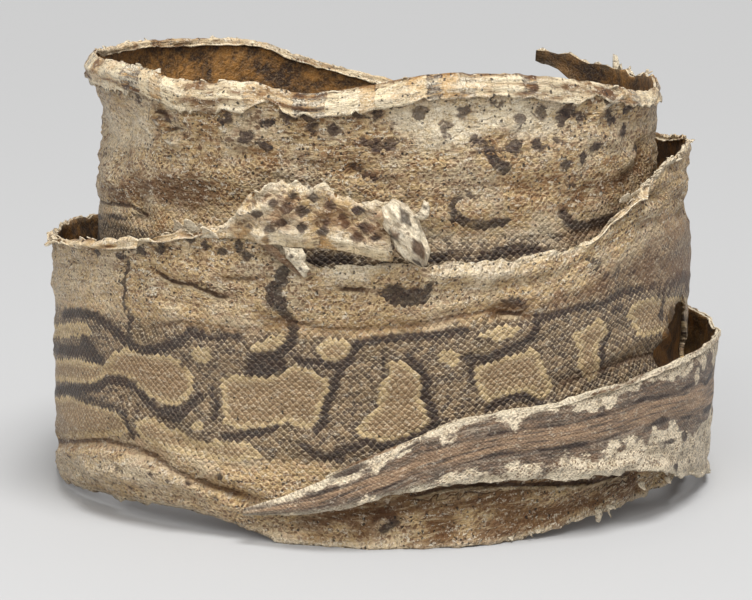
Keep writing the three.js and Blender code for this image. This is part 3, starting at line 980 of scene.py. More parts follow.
def open_hole(angle, height):
    """Moves the grid so that a block of cells takes the hole's outline. Returns the block too."""
    i0 = int(np.abs(angle[:, 0] - HOLE_ANGLE).argmin()) // 2 * 2
    j0 = int(np.abs(height[i0] - HOLE_HEIGHT).argmin()) // 2 * 2
    i, j = np.meshgrid(np.arange(COLUMNS), np.arange(ROWS), indexing="ij")
    a = (i - i0) / HOLE_COLUMNS
    b = (j - j0) / HOLE_ROWS
    out = np.maximum(np.abs(a), np.abs(b))
    per_degree = float(np.diff(distance_along(np.array([HOLE_ANGLE, HOLE_ANGLE + 1])))[0])
    cell = (
        (angle[i0 + HOLE_COLUMNS, j0] - angle[i0, j0]) * per_degree,
        height[i0, j0 + HOLE_ROWS] - height[i0, j0],
    )
    safe = np.maximum(out, 1e-6)
    edge = np.stack([a / safe * cell[0], b / safe * cell[1]], -1)
    outline = np.array(HOLE_OUTLINE, float)
    turns = np.arctan2(outline[:, 1], outline[:, 0])
    order = np.argsort(turns)
    reach = np.interp(
        np.arctan2(edge[..., 1], edge[..., 0]), turns[order], np.hypot(*outline.T)[order], period=2 * np.pi
    )
    goal = edge / np.maximum(np.hypot(edge[..., 0], edge[..., 1]), 1e-6)[..., None] * reach[..., None]
    fade = 1 - ramp(out, 1.0, 3.2)
    move = (goal - edge) * np.where(out > 0.999, fade, 0)[..., None]
    angle = angle + move[..., 0] / per_degree
    height = height + move[..., 1]
    block = (i0 - HOLE_COLUMNS, i0 + HOLE_COLUMNS, j0 - HOLE_ROWS, j0 + HOLE_ROWS)
    return angle, height, block


def normals_of(points):
    """Unit normals of a grid of points, out of the roll, a little smoothed."""
    across = np.gradient(points, axis=0)
    up = np.gradient(points, axis=1)
    n = np.cross(across, up)
    n /= np.maximum(np.linalg.norm(n, axis=-1, keepdims=True), 1e-9)
    for axis in (0, 1):
        padded = np.concatenate([n.take([0], axis), n, n.take([-1], axis)], axis)
        size = n.shape[axis]
        n = sum(padded.take(range(k, k + size), axis) for k in range(3)) / 3
    return n / np.maximum(np.linalg.norm(n, axis=-1, keepdims=True), 1e-9)


class Skin:
    """Collects grids of skin into one mesh with two faces, and what the materials read at each point."""

    def __init__(self):
        self.points = []
        self.layers = {name: [] for name in ("lattice", "place", "patch", "dark", "tone", "crease")}
        self.faces = []
        self.inside = []
        self.count = 0

    def add_points(self, points, layers):
        """Adds a grid of points, and returns their numbers in the mesh, in the grid's own shape."""
        start = self.count
        self.points.append(points.reshape(-1, 3))
        for name, collected in self.layers.items():
            values = layers.get(name, np.zeros((*points.shape[:2], 3)))
            collected.append(values.reshape(-1, 3))
        index = np.arange(points.shape[0] * points.shape[1]).reshape(points.shape[:2])
        self.count += index.size
        return start + index

    def add_faces(self, faces, inside):
        for face in faces:
            self.faces.append([int(k) for k in face])
            self.inside.append(inside)

    def grid(self, points, layers, thickness, block=None, both_outside=False):
        """A sheet: a fine outer face, and an inner face with half as many rows and columns."""
        inner_points = (points - normals_of(points) * thickness)[::2, ::2]
        outer = self.add_points(points, layers)
        inner = self.add_points(inner_points, {k: v[::2, ::2] for k, v in layers.items()})
        self.add_faces(quads(outer, block), False)
        half = None if block is None else tuple(k // 2 for k in block)
        self.add_faces([q[::-1] for q in quads(inner, half)], not both_outside)
        for fine, coarse in border(outer, inner):
            self.add_faces(stitch(fine, coarse), False)
        if block is not None:
            i0, i1, j0, j1 = block
            for fine, coarse in border(
                outer[i0 : i1 + 1, j0 : j1 + 1], inner[i0 // 2 : i1 // 2 + 1, j0 // 2 : j1 // 2 + 1]
            ):
                self.add_faces([f[::-1] for f in stitch(fine, coarse)], False)

    def mesh(self, name):
        points = np.concatenate(self.points) * MM
        points[:, 2] = np.maximum(points[:, 2], 0)
        data = bpy.data.meshes.new(name)
        data.from_pydata(points.tolist(), [], self.faces)
        for layer, values in self.layers.items():
            attribute = data.attributes.new(layer, "FLOAT_VECTOR", "POINT")
            attribute.data.foreach_set("vector", np.concatenate(values).astype(np.float32).ravel())
        data.polygons.foreach_set("material_index", np.array(self.inside, np.int32))
        data.polygons.foreach_set("use_smooth", np.ones(len(self.faces), bool))
        data.update()
        return data


def quads(index, block):
    """The cells of a grid as faces, without those of a block."""
    i, j = np.meshgrid(np.arange(index.shape[0] - 1), np.arange(index.shape[1] - 1), indexing="ij")
    keep = np.ones(i.shape, bool)
    if block is not None:
        keep[block[0] : block[1], block[2] : block[3]] = False
    i, j = i[keep], j[keep]
    return np.stack([index[i, j], index[i + 1, j], index[i + 1, j + 1], index[i, j + 1]], -1)


def border(outer, inner):
    """The four sides of a grid, going round it, of its outer and its inner face."""
    return [
        (outer[:, 0], inner[:, 0]),
        (outer[-1, :], inner[-1, :]),
        (outer[::-1, -1], inner[::-1, -1]),
        (outer[0, ::-1], inner[0, ::-1]),
    ]


def stitch(fine, coarse):
    """Faces between an edge and one with half as many points."""
    faces = []
    for k in range(len(coarse) - 1):
        a, b, c = fine[2 * k], fine[2 * k + 1], fine[2 * k + 2]
        faces += [(a, coarse[k], b), (b, coarse[k], coarse[k + 1]), (b, coarse[k + 1], c)]
    return faces


# ---------------------------------------------------------------- what the materials read


def lattice_of(places):
    """Counts of scales along (U) and across (V) the skin."""
    s, v = places[..., 0], places[..., 1]
    s = s + 0.7 * noise(s / 9, v / 9, 26) + 0.3 * noise(s / 4, v / 4, 27)
    v = v + 0.6 * noise(s / 11, v / 8, 28) + 0.3 * noise(s / 4, v / 4, 29)
    steps = np.linspace(0, SHEET_LENGTH + 10, 2000)
    counts = np.cumsum((steps[1] - steps[0]) / along(SCALE_LENGTH, steps))
    return np.stack([np.interp(s, steps, counts), v / along(SCALE_HEIGHT, s)], -1)


def with_slopes(field, lattice, soft):
    """A field with its slopes along and across the scale lattice, for reading it once a scale.

    Where soft is 1 the slopes are 0, and marks keep their own outlines.
    """
    field = np.clip(field, -FAR, FAR)
    du, dv = (np.gradient(lattice[..., k], axis=k) for k in (0, 1))
    du = np.where(np.abs(du) < 1e-3, 1e-3, du)
    dv = np.where(np.abs(dv) < 1e-3, 1e-3, dv)
    slopes = [np.clip(np.gradient(field, axis=k) / d, -3, 3) * (1 - soft) for k, d in ((0, du), (1, dv))]
    return np.stack([field, *slopes], -1)


def sheet_layers(angle, height, brown):
    """The material layers of the rolled sheet."""
    places = skin_place(angle, height)
    s, v = places[..., 0], places[..., 1]
    patch, dark = pattern(places)
    tail_middle, tail_dark = tail_stripes(places)
    on_tail = 1 - ramp(s, *TAIL_FADES)
    patch = patch * (1 - on_tail) + tail_middle * on_tail
    dark = np.maximum(dark, tail_dark)
    lattice = lattice_of(places)
    edge = np.minimum(along(UPPER_EDGE, angle) - height, height - lower_edge(angle))
    pale = ramp(-edge, -2.6, -0.2) * (0.6 + 0.4 * noise(s / 4, v / 4, 51))
    stain_and_painted_light = np.full(places.shape[:-1], -FAR)
    add_polygon(stain_and_painted_light, places, skin_under(STAIN_PX, INNER_TURN))
    brown = brown + STAIN_GAIN * ramp(stain_and_painted_light + 2 * noise(s / 5, v / 5, 54), -3.5, 4.5)
    # painted shadow of the tail strip: the foot of the middle turn below it is made browner
    tail_strip_shadow = ramp(-height, -28, -12) * ramp(angle, 250, 264) * (1 - ramp(angle, 322, 336))
    brown = brown + (0.58 + 0.6 * noise(s / 8, v / 6, 55)) * tail_strip_shadow
    brown, pale = tone_areas(places, brown, pale)
    flank = np.abs(v) / along(HALF_GIRTH, angle)
    speckle = ramp(flank, 0.3, 0.6) * (0.6 + 0.4 * noise(s / 14, v / 9, 53)) * ramp(s, *SPECKLE_GROWS)
    return {
        "lattice": np.concatenate([lattice, np.zeros(lattice[..., :1].shape)], -1),
        "place": np.stack([s, v, flank], -1),
        "patch": with_slopes(patch, lattice, 0.3),
        "dark": with_slopes(dark, lattice, np.maximum(0.3 + 0.7 * ramp(flank, 0.72, 0.78), on_tail)),
        "tone": np.stack([np.clip(brown, -1, 0.85), np.clip(pale, 0, 1), speckle], -1),
        "crease": crease_lines(places),
    }


def loose_layers(s, v, lattice, scutes, flank, tones, dark=-FAR):
    """The material layers of a hem, the flap or a torn bit. They carry no pale patches."""
    def layer(*values):
        return np.stack([np.broadcast_to(value, (s + v).shape) for value in values], -1)

    return {
        "lattice": layer(*lattice, scutes),
        "place": layer(s, v, flank),
        "patch": layer(-FAR, 0, 0),
        "dark": layer(np.clip(dark, -FAR, FAR), 0, 0),
        "tone": layer(*tones),
    }


def bit_layers(s, v, pale, brown, dark=-FAR):
    """The material layers of a torn bit of belly skin."""
    lattice = (s / BIT_SCALE, v / BIT_SCALE)
    return loose_layers(s, v + LOOSE_HEIGHT, lattice, 0, LOOSE_FLANK, (brown, pale, LOOSE_SPECKLE), dark)


def tone_areas(places, brown, pale):
    """Adds the browner and the paler areas to brown and pale."""
    s, v = places[..., 0], places[..., 1]
    turns = {"inner": INNER_TURN, "middle": MIDDLE_TURN}
    for turn, outline, browner, paler in TONES_PX:
        field = np.full(s.shape, -FAR)
        add_polygon(field, places, skin_under(outline, turns[turn]))
        share = ramp(field + 2.5 * noise(s / 6, v / 4, 56) + 1.2 * noise(s / 2.5, v / 1.8, 57), -3.5, 4.5)
        brown = brown + browner * share
        pale = pale + paler * share
    return brown, pale


# ---------------------------------------------------------------- pieces of the skin


def top_edge(angle):
    """The height of the sheet's torn upper edge, which is smoother on the tail and where it is folded."""
    ragged = 0.35 * ramp(angle, -90, -60) + 0.65 * ramp(angle, 10, 40)
    folded = ramp(angle, 430, 460) * (1 - ramp(angle, 690, 720))
    return along(UPPER_EDGE, angle) + torn(angle, 63, 0.5, 0.8) * ragged * (1 - 0.65 * folded)


def add_sheet(skin):
    """The rolled sheet itself, thicker under its creases, which the coarser inner face doesn't follow."""
    angle = np.repeat(column_angles()[:, None], ROWS, 1)
    low = lower_edge(angle) + torn(angle, 61, 0.3, 0.5) * ramp(angle, -114, -95)
    low = np.maximum(low, 0)
    high = top_edge(angle)
    height = low + (high - low) * row_shares()
    angle, height, block = open_hole(angle, height)
    places = skin_place(angle, height)
    relief, brown = crease_relief(places)
    out = shape_relief(angle, height) + relief + wave_relief(angle, height)
    out = out + rim_relief(angle, height, low, high) + strip_lift(angle, height, low)
    thickness = THICKNESS + 0.9 * highest_near(np.clip(-relief - 0.4, 0, 3), 3)
    skin.grid(wall(angle, height, out), sheet_layers(angle, height, brown), thickness[..., None], block)


def highest_near(field, reach):
    """The highest of a field's values within reach cells of each."""
    padded = np.pad(field, reach, mode="edge")
    best = field
    for i in range(2 * reach + 1):
        for j in range(2 * reach + 1):
            best = np.maximum(best, padded[i : i + field.shape[0], j : j + field.shape[1]])
    return best


def add_hems(skin):
    """The upper edges are folded over: crumpled bands that lie on the sheet, with a torn lower border."""
    for number, (start, stop, tall, out, crumples, scutes) in enumerate(HEMS):
        length = float(distance_along(stop) - distance_along(start))
        columns = int(length / HEM_STEP) // 2 * 2 + 1
        angle = np.linspace(start, stop, columns)[:, None]
        s = distance_along(angle)
        w = np.linspace(0, 1, HEM_ROWS)[None, :]
        ends = ramp(angle, start, start + 9) * (1 - ramp(angle, stop - 9, stop))
        ragged = 0.12 * noise(s / 14, 0 * s, 90 + number) + 0.16 * noise(s / 1.9, 0 * s, 91 + number)
        ragged = ragged - 0.8 * ramp(crumples, 0.2, 0.4) * ramp(noise(s / 7, 0 * s, 98 + number), -0.1, 0.5)
        drop = tall * w * (0.3 + 0.7 * ends) * (1 + ragged * w**3)
        straight = along(UPPER_EDGE, angle)
        height = straight + 0.4 + (top_edge(angle) - straight) * (1 - 0.8 * w) ** 2 - drop
        angle = np.broadcast_to(angle, height.shape)
        crumple = noise(s / 26, drop / 1.5, 92 + number) + 0.4 * noise(s / 9, drop / 1.1, 93 + number)
        lip = 3.2 * (0.3 + np.abs(noise(s / 3.5, 0 * s, 94 + number))) * ramp(w, 0.8, 1.0)
        lift = np.abs(out) * (np.sin(np.pi * np.clip(w * 1.8, 0, 0.5)) + 0.5 * w**3) + 0.4
        stand = (lift + crumples * (2.4 * crumple * np.clip(w * 4, 0.2, 1) + lip)) * ends
        if out < 0:
            stand = -stand - THICKNESS
        points = shaped_wall(angle, height, wave_relief(angle, height) + stand)
        layers = hem_layers(s, w, drop, scutes, number)
        if out > 0:
            points = points[:, ::-1]
            layers = {name: values[:, ::-1] for name, values in layers.items()}
        skin.grid(points, layers, LOOSE_THICKNESS, both_outside=True)


def hem_layers(s, w, drop, scutes, number):
    """The material layers of a folded edge, whose skin goes on from the belly's edge."""
    stain_and_painted_light = noise(s / 12, drop / 1.6, 95 + number) + 0.6 * noise(s / 4.5, drop / 1.1, 96 + number)
    brown = np.clip(0.1 + 0.7 * stain_and_painted_light + 0.3 * noise(s / 30, 0 * s, 97 + number), -1, 1)
    pale = np.clip(0.3 + 0.7 * ramp(w, 0.85, 1.0) - 0.6 * stain_and_painted_light, 0, 1)
    v = HEM_HEIGHT - drop
    return loose_layers(s, v, (s / HEM_SCALE, v / HEM_SCALE), scutes, HEM_FLANK, (brown, pale, 0.4))


def add_flap(skin):
    """The torn flap of belly skin over the gap in the front."""
    upper = wall_under(FLAP_UPPER_PX, MIDDLE_TURN)
    lower = wall_under(FLAP_LOWER_PX, MIDDLE_TURN)
    u = np.linspace(0, 1, FLAP_COLUMNS)[:, None]
    w = np.linspace(0, 1, FLAP_ROWS)[None, :]
    ragged_end = (0.8 + 1.1 * noise(w * 5, 0 * w, 76)) * u**6
    angle = upper[0][0] + (upper[0][-1] - upper[0][0]) * u + ragged_end
    high = np.interp(angle, upper[0], upper[1])
    low = np.interp(angle, lower[0], lower[1])
    s = distance_along(angle)
    high = high + (0.8 * noise(s / 4, 0 * s, 77) + 0.8 * noise(s / 1.6, 0 * s, 78)) * ramp(u, 0.05, 0.2)
    low = low + 0.5 * noise(s / 5, 0 * s, 79)
    height = low + (high - low) * w
    up = height - low
    fold = np.exp(-(((w - 0.2 - 0.05 * noise(s / 9, 0 * s, 70)) / 0.1) ** 2)) * ramp(u, 0.15, 0.3)
    out = along(FLAP_OUT, angle) + 1.6 * 4 * w * (1 - w) * ramp(angle, 240, 246)
    out = out + 1.0 * noise(s / 8, up / 6, 71) + 0.6 * noise(s / 3.4, up / 2.8, 72) + 1.0 * fold
    out = out + 2.0 * (0.35 - np.abs(noise((s + up) / 9, (s - up) / 5, 69))) * ramp(w, 0.1, 0.5)
    out = out + 2.0 * ramp(w, 0.7, 1.0) * noise(s / 2.6, up / 2.5, 73) - 1.6 * ramp(u, 0.93, 1.0)
    puff = puff_mark(angle, height)
    out = out + 2.8 * puff
    dark = np.full(height.shape, -FAR)
    spots = wall_under(FLAP_SPOTS_PX, MIDDLE_TURN)
    sizes = np.random.default_rng(68).uniform(1.5, 2.4, len(FLAP_SPOTS_PX))
    for centre, size in zip(zip(distance_along(spots[0]), spots[1]), sizes):
        add_spot(dark, np.stack([s, height], -1), centre, size)
    scutes = 0.75 * (1 - ramp(up, 3.6, 4.6))
    crest = ramp(high - height, 4.2, 0.6)
    pale = 0.9 * crest + 1.0 * puff + 0.7 * fold + 0.6 * noise(s / 6, up / 5, 74) - 0.1
    brown = 0.3 * noise(s / 5, up / 3, 75) + 0.42 * np.exp(-(((w - 0.52) / 0.24) ** 2)) - 0.5 * puff
    tones = (np.clip(brown, -1, 0.8), np.clip(pale, 0, 1), LOOSE_SPECKLE)
    lattice = (s / FLAP_SCALE_LENGTH, up / FLAP_SCALE_HEIGHT)
    layers = loose_layers(s, up + LOOSE_HEIGHT, lattice, scutes, LOOSE_FLANK, tones, dark)
    skin.grid(wall(angle, height, out), layers, FLAP_THICKNESS)


def puff_mark(angle, height):
    """1 along the white puffed fold near the flap's left end, and 0 away from it."""
    line = wall_under(FLAP_PUFF_PX, MIDDLE_TURN)
    places = np.stack([distance_along(angle), height], -1)
    return np.exp(-((from_line(places, np.stack([distance_along(line[0]), line[1]], -1)) / 2.0) ** 2))


def spread(values, count):
    """Values at the points of a path, carried to count points along it."""
    return np.interp(np.linspace(0, len(values) - 1, count), range(len(values)), values)


def path_off_wall(pixels, out, count):
    """A path of count points through some pixels of the middle turn, standing out from the wall."""
    corners = shaped_wall(*wall_under(pixels, MIDDLE_TURN), np.array(out))
    return np.stack([spread(c, count) for c in corners.T], -1)


def add_curl(skin):
    """The rolled-up end of the flap: a tube that is open along one side."""
    centre = path_off_wall(CURL_PX, CURL_OUT, CURL_COLUMNS)
    radius = spread(CURL_RADII, CURL_COLUMNS)[:, None, None]
    along_path = np.gradient(centre, axis=0)
    along_path /= np.linalg.norm(along_path, axis=-1, keepdims=True)
    side = np.cross(along_path, np.array([0, -1.0, 0]))
    side /= np.linalg.norm(side, axis=-1, keepdims=True)
    front = np.cross(side, along_path)
    turn = np.linspace(*np.radians(CURL_ARC), CURL_ROWS)
    s, t = np.meshgrid(2.8 * np.linspace(0, len(CURL_PX) - 1, CURL_COLUMNS), 3.6 * turn, indexing="ij")
    folds = 0.34 * (0.35 - np.abs(noise(s / 9, t / 2.2, 101))) + 0.26 * noise(s / 3.2, t / 1.5, 102)
    folds = folds + 0.1 * noise(s / 1.4, t / 0.8, 105)
    around = np.cos(turn)[:, None] * side[:, None] + np.sin(turn)[:, None] * front[:, None]
    brown = -0.1 + 0.8 * noise(s / 5, t / 1.8, 104)
    pale = 0.75 + 0.6 * noise(s / 6, t / 2.0, 103)
    dark = np.full(s.shape, -FAR)
    for place, size in CURL_SPOTS:
        add_spot(dark, np.stack([s, t], -1), place, size)
    points = centre[:, None] + radius * (1 + folds[..., None]) * around
    skin.grid(points, bit_layers(s, t, pale, brown, dark), LOOSE_THICKNESS, both_outside=True)


def add_flake(skin, root, along_dir, grow_dir, bend_dir, size, rng):
    """A torn bit of skin standing on an edge: size is its width, length and how far it bends over."""
    wide, long, bend = size
    u = np.linspace(-0.5, 0.5, 5)[:, None]
    w = np.linspace(0, 1, 7)[None, :]
    taper = (1 - w**1.5 * rng.uniform(0.5, 1.0)) * (1 + 0.25 * rng.uniform(-1, 1) * w)
    lean = rng.uniform(-0.5, 0.5) * long * w**2
    x = u * wide * taper + lean
    y = long * (w - 0.25) * (1 - 0.25 * np.abs(u) * w)
    z = bend * w**2 + 0.25 * wide * (2 * u) ** 2 * rng.uniform(-1, 1)
    points = root + x[..., None] * along_dir + y[..., None] * grow_dir + z[..., None] * bend_dir
    layers = bit_layers(root[0] + x, y, rng.uniform(0.3, 1.0), rng.uniform(-0.4, 0.6))
    skin.grid(points, layers, FLAKE_THICKNESS, both_outside=True)


def edge_frame(angle, height):
    """A place on the wall, and the directions along it, up and out there."""
    a = np.array(angle, float)
    h = np.array(height, float)
    n = outward(a)
    side = np.array([-n[1], n[0], 0.0])
    up = np.array([0, 0, 1.0])
    return shaped_wall(a, h), side, up, np.array([n[0], n[1], 0.0])


def add_flakes(skin):
    """Torn bits along the rims, at the flap's root and on the neck end."""
    rng = np.random.default_rng(81)
    for start, stop, count, longest in RIM_FLAKES:
        for a in rng.uniform(start, stop, count):
            root, side, up, out = edge_frame(a, float(top_edge(np.array(a))) - 0.3)
            long = rng.uniform(0.4, 1.0) * longest
            grow = up + out * rng.uniform(-0.5, 0.8)
            bend = rng.uniform(-0.8, 1.0) * long
            size = (rng.uniform(2.0, 5.0), long, bend)
            add_flake(skin, root, side, grow / np.linalg.norm(grow), out, size, rng)
    for start, stop, count, longest in FOOT_FLAKES:
        for a in rng.uniform(start, stop, count):
            low = float(lower_edge(a))
            root, side, up, out = edge_frame(a, low + 1.2)
            long = min(rng.uniform(0.4, 1.0) * longest, low + 0.8)
            size = (rng.uniform(1.0, 2.6), long, rng.uniform(0, 0.8) * long)
            add_flake(skin, root, side, -up * 0.9 + out * 0.4, out, size, rng)
    add_named_flakes(skin, rng)


def add_named_flakes(skin, rng):
    """The larger torn bits that the photograph shows one by one."""
    for pixel, turn, wide, long, bend, hangs in SHARDS_PX:
        (angle,), (height,) = wall_under([pixel], turn)
        root, side, up, out = edge_frame(angle, height)
        grow = -up if hangs else up
        add_flake(skin, root, side, grow, out, (wide, long, bend), rng)


def add_scraps(skin):
    """Torn strips of skin near the flap, each between a left and a right side."""
    for number, (left_px, right_px, out, pale, brown) in enumerate(SCRAPS_PX):
        left, right = (path_off_wall(path, out, SCRAP_COLUMNS)[:, None] for path in (left_px, right_px))
        w = np.linspace(0, 1, SCRAP_ROWS)[None, :, None]
        points = left * (1 - w) + right * w
        x, z = points[..., 0], points[..., 2]
        crumple = 0.9 * noise(x / 2.6, z / 2.6, 110 + number) + 0.5 * noise(x / 1.2, z / 1.3, 120 + number)
        points[..., 1] -= 1.0 * np.sin(np.pi * w[..., 0]) + crumple
        points[..., 0] += 0.5 * noise(z / 1.6, x / 2.5, 130 + number)
        places = np.stack([x, z], -1)
        spots = np.full(x.shape, -FAR)
        if pale > 0.5:
            add_spot(spots, places, places[3, 2], 0.9)
            add_spot(spots, places, places[8, 3], 0.7)
        skin.grid(points, bit_layers(x, z, pale, brown, spots), LOOSE_THICKNESS, both_outside=True)


# ---------------------------------------------------------------- materials


class Value:
    """A number, vector or colour of a node tree. Arithmetic with numbers makes math nodes."""

    def __init__(self, graph, socket):
        self.graph = graph
        self.socket = socket

    def __add__(self, other):
        return self.graph.math("ADD", self, other)

    def __radd__(self, other):
        return self.graph.math("ADD", other, self)

    def __sub__(self, other):
        return self.graph.math("SUBTRACT", self, other)

    def __rsub__(self, other):
        return self.graph.math("SUBTRACT", other, self)

    def __mul__(self, other):
        return self.graph.math("MULTIPLY", self, other)


class Graph:
    """A material's node tree, with short calls for the nodes used here."""

    def __init__(self, name):
        self.material = bpy.data.materials.new(name)
        self.material.use_nodes = True
        self.tree = self.material.node_tree
        self.tree.nodes.clear()

    def node(self, kind, **settings):
        made = self.tree.nodes.new(kind)
        for key, value in settings.items():
            setattr(made, key, value)
        return made

    def put(self, socket, value):
        if isinstance(value, Value):
            self.tree.links.new(value.socket, socket)
        else:
            socket.default_value = value

    def result(self, made, values):
        """What a node makes of these values of its first inputs."""
        for socket, value in zip(made.inputs, values):
            self.put(socket, value)
        return Value(self, made.outputs[0])

    def math(self, operation, a, b=0.0):
        return self.result(self.node("ShaderNodeMath", operation=operation), (a, b))

    def between(self, share, a, b):
        """a where share is 0, b where it is 1."""
        return (1.0 - share) * a + share * b

    def step(self, value, low, high):
        """0 below low and 1 above high, smooth between."""
        made = self.node("ShaderNodeMapRange", interpolation_type="SMOOTHSTEP")
        return self.result(made, (value, low, high, 0.0, 1.0))

    def mix(self, share, a, b, blend="MIX"):
        """Colour a with a share of colour b over it."""
        made = self.node("ShaderNodeMix", data_type="RGBA", blend_type=blend, clamp_factor=True)
        self.put(made.inputs[0], share)
        self.put(made.inputs[6], a)
        self.put(made.inputs[7], b)
        return Value(self, made.outputs[2])

    def shade(self, colour, light):
        """A colour times a grey."""
        return self.mix(1.0, colour, self.vector(light, light, light), "MULTIPLY")

    def split(self, vector):
        """The three numbers of a vector."""
        made = self.node("ShaderNodeSeparateXYZ")
        self.put(made.inputs[0], vector)
        return [Value(self, socket) for socket in made.outputs]

    def layer(self, name):
        """The three numbers of a mesh layer."""
        made = self.node("ShaderNodeAttribute", attribute_type="GEOMETRY", attribute_name=name)
        return self.split(Value(self, made.outputs["Vector"]))

    def vector(self, x, y, z=0.0):
        return self.result(self.node("ShaderNodeCombineXYZ"), (x, y, z))

    def noise(self, place, scale, detail, roughness=0.5, output=0):
        made = self.node("ShaderNodeTexNoise")
        self.put(made.inputs["Vector"], place)
        made.inputs["Scale"].default_value = scale
        made.inputs["Detail"].default_value = detail
        made.inputs["Roughness"].default_value = roughness
        return Value(self, made.outputs[output])

    def finish(self, colour, roughness, height):
        """The material, with its bump from a height in millimetres."""
        made = self.node("ShaderNodeBump")
        made.inputs["Distance"].default_value = MM
        made.inputs["Strength"].default_value = 1.0
        self.put(made.inputs["Height"], height)
        surface = self.node("ShaderNodeBsdfPrincipled")
        surface.inputs["Specular IOR Level"].default_value = SPECULAR
        self.put(surface.inputs["Base Color"], colour)
        self.put(surface.inputs["Roughness"], roughness)
        self.put(surface.inputs["Normal"], Value(self, made.outputs[0]))
        output = self.node("ShaderNodeOutputMaterial")
        self.put(output.inputs[0], Value(self, surface.outputs[0]))
        return self.material


class SkinGraph(Graph):
    """A graph that knows the place on the skin (s, v, flank) and the place within its diamond scale.

    There, own is a number of the scale's own, out is 0 at its middle and 1 at its rim, tip and side are
    how far along and up the place is, and to_middle is the step to its middle. Near the belly of the
    neck the scales are large, on a lattice of their own. On the folded rims scute is above 0, and plain
    falls to 0, because broad belly scutes take the scales' place.
    """

    def __init__(self, name):
        super().__init__(name)
        self.s, self.v, self.flank = self.layer("place")
        self.place = self.vector(self.s, self.v)
        u, v, self.scute = self.layer("lattice")
        self.plain = 1.0 - self.step(self.scute, 0.05, 0.2)
        stray = self.split(self.noise(self.vector(u, v), 0.9, 3.0, output="Color"))
        large = self.math("GREATER_THAN", self.flank + stray[2] * 0.1, BELLY_SCALES + 0.05)
        self.large = large * self.math("GREATER_THAN", self.s, NECK_START)
        u = self.between(self.large, u, self.s * (1 / BELLY_SCALE_LENGTH))
        v = self.between(self.large, v, self.v * (1 / BELLY_SCALE_HEIGHT))
        reach = 0.5 + self.step(self.flank, 0.38, 0.6) * 1.1
        u = u + (stray[0] - 0.5) * reach
        v = v + (stray[1] - 0.5) * reach
        self.read_scale(u + v, u - v)

    def read_scale(self, a, b):
        """Sets what is known of the scale, from counts of scales along its two rows."""
        in_a = self.math("FRACT", a) - 0.5
        in_b = self.math("FRACT", b) - 0.5
        cell = self.vector(self.math("FLOOR", a), self.math("FLOOR", b))
        own = self.node("ShaderNodeTexWhiteNoise", noise_dimensions="2D")
        self.own = self.result(own, (cell,))
        small = (1.0 - self.large) * -0.5
        self.to_middle = ((in_a + in_b) * small, (in_a - in_b) * small)
        cubes = [self.math("POWER", self.math("ABSOLUTE", x) * 2.0, 3.0) for x in (in_a, in_b)]
        self.out = self.math("POWER", cubes[0] + cubes[1], 1 / 3)
        self.tip = in_a + in_b
        self.side = in_a - in_b

    def once_a_scale(self, name, stray):
        """A field of the mesh read at the middle of the scale, with a stray of its own."""
        value, slope_u, slope_v = self.layer(name)
        moved = value + (slope_u * self.to_middle[0] + slope_v * self.to_middle[1])
        return moved + (self.own - 0.5) * stray


def outer_material():
    """The outside: tan patches and dark lines on a grey-brown ground, set in small diamond scales."""
    g = SkinGraph("scaled_outside")
    g.broad = g.noise(g.place, 0.06, 3.0, 0.6)
    g.mottle = g.noise(g.place, 0.3, 4.0, 0.65)
    g.fine = g.noise(g.place, 1.5, 4.0, 0.7)
    g.streak = g.noise(g.vector(g.s * 0.2, g.v), 0.85, 5.0, 0.68)
    g.curls = g.noise(g.vector(g.s * 0.6, g.v), 0.6, 4.0, 0.65)
    colour = tail_colour(g, body_colour(g))
    colour, dark = dark_marks(g, colour)
    colour = scute_colour(g, colour)
    colour = scale_light(g, colour, dark)
    colour = weathering(g, colour, dark)
    colour, height = creases(g, colour, relief(g))
    deep = g.result(g.node("ShaderNodeGamma"), (colour, CONTRAST))
    return g.finish(g.shade(deep, LIFT), 0.36 + g.mottle * 0.25, height)


def body_colour(g):
    """The back's ground and pale patches, the flanks and the belly's edge."""
    mottle = g.mottle + (g.own - 0.5) * 0.14
    ground = g.mix(g.step(mottle, 0.36, 0.64), GROUND_DARK, GROUND_LIGHT)
    ground = g.mix(g.step(g.broad, 0.5, 0.64) * 0.35, ground, GROUND_OLIVE)
    flank = g.mix(g.step(g.broad, 0.39, 0.55), FLANK, FLANK_GOLD)
    flank = g.mix(g.step(g.mottle, 0.47, 0.6) * 0.6, flank, FLANK_PINK)
    flank = g.mix(g.step(g.streak, 0.49, 0.62) * 0.5, flank, FLANK_BROWN)
    flank = g.mix(g.step(g.curls, 0.5, 0.64) * 0.6, flank, FLANK_BROWN)
    amber = g.step(g.mottle * 0.5 + g.broad * 0.6, 0.56, 0.66) * g.step(g.s, NECK_START, NECK_AMBER)
    flank = g.mix(amber * 0.75, flank, AMBER_BROWN)
    toward_belly = g.step(g.flank + (mottle - 0.5) * 0.14, 0.35, 0.43)
    colour = g.mix(toward_belly, ground, flank)
    patch = g.once_a_scale("patch", 0.9)
    halo = g.step(patch, -3.0, -0.5) * (1.0 - toward_belly)
    colour = g.mix(halo * 0.45, colour, GROUND_DARK)
    core = g.step(patch + (g.mottle - 0.5) * 3.0, 0.3, 3.0)
    inside = g.mix(core, PATCH_EDGE, PATCH_MIDDLE)
    inside = g.mix(g.step(mottle, 0.5, 0.72) * 0.4, inside, GROUND_OLIVE)
    return g.mix(g.step(patch, -0.3, 0.2), colour, inside)


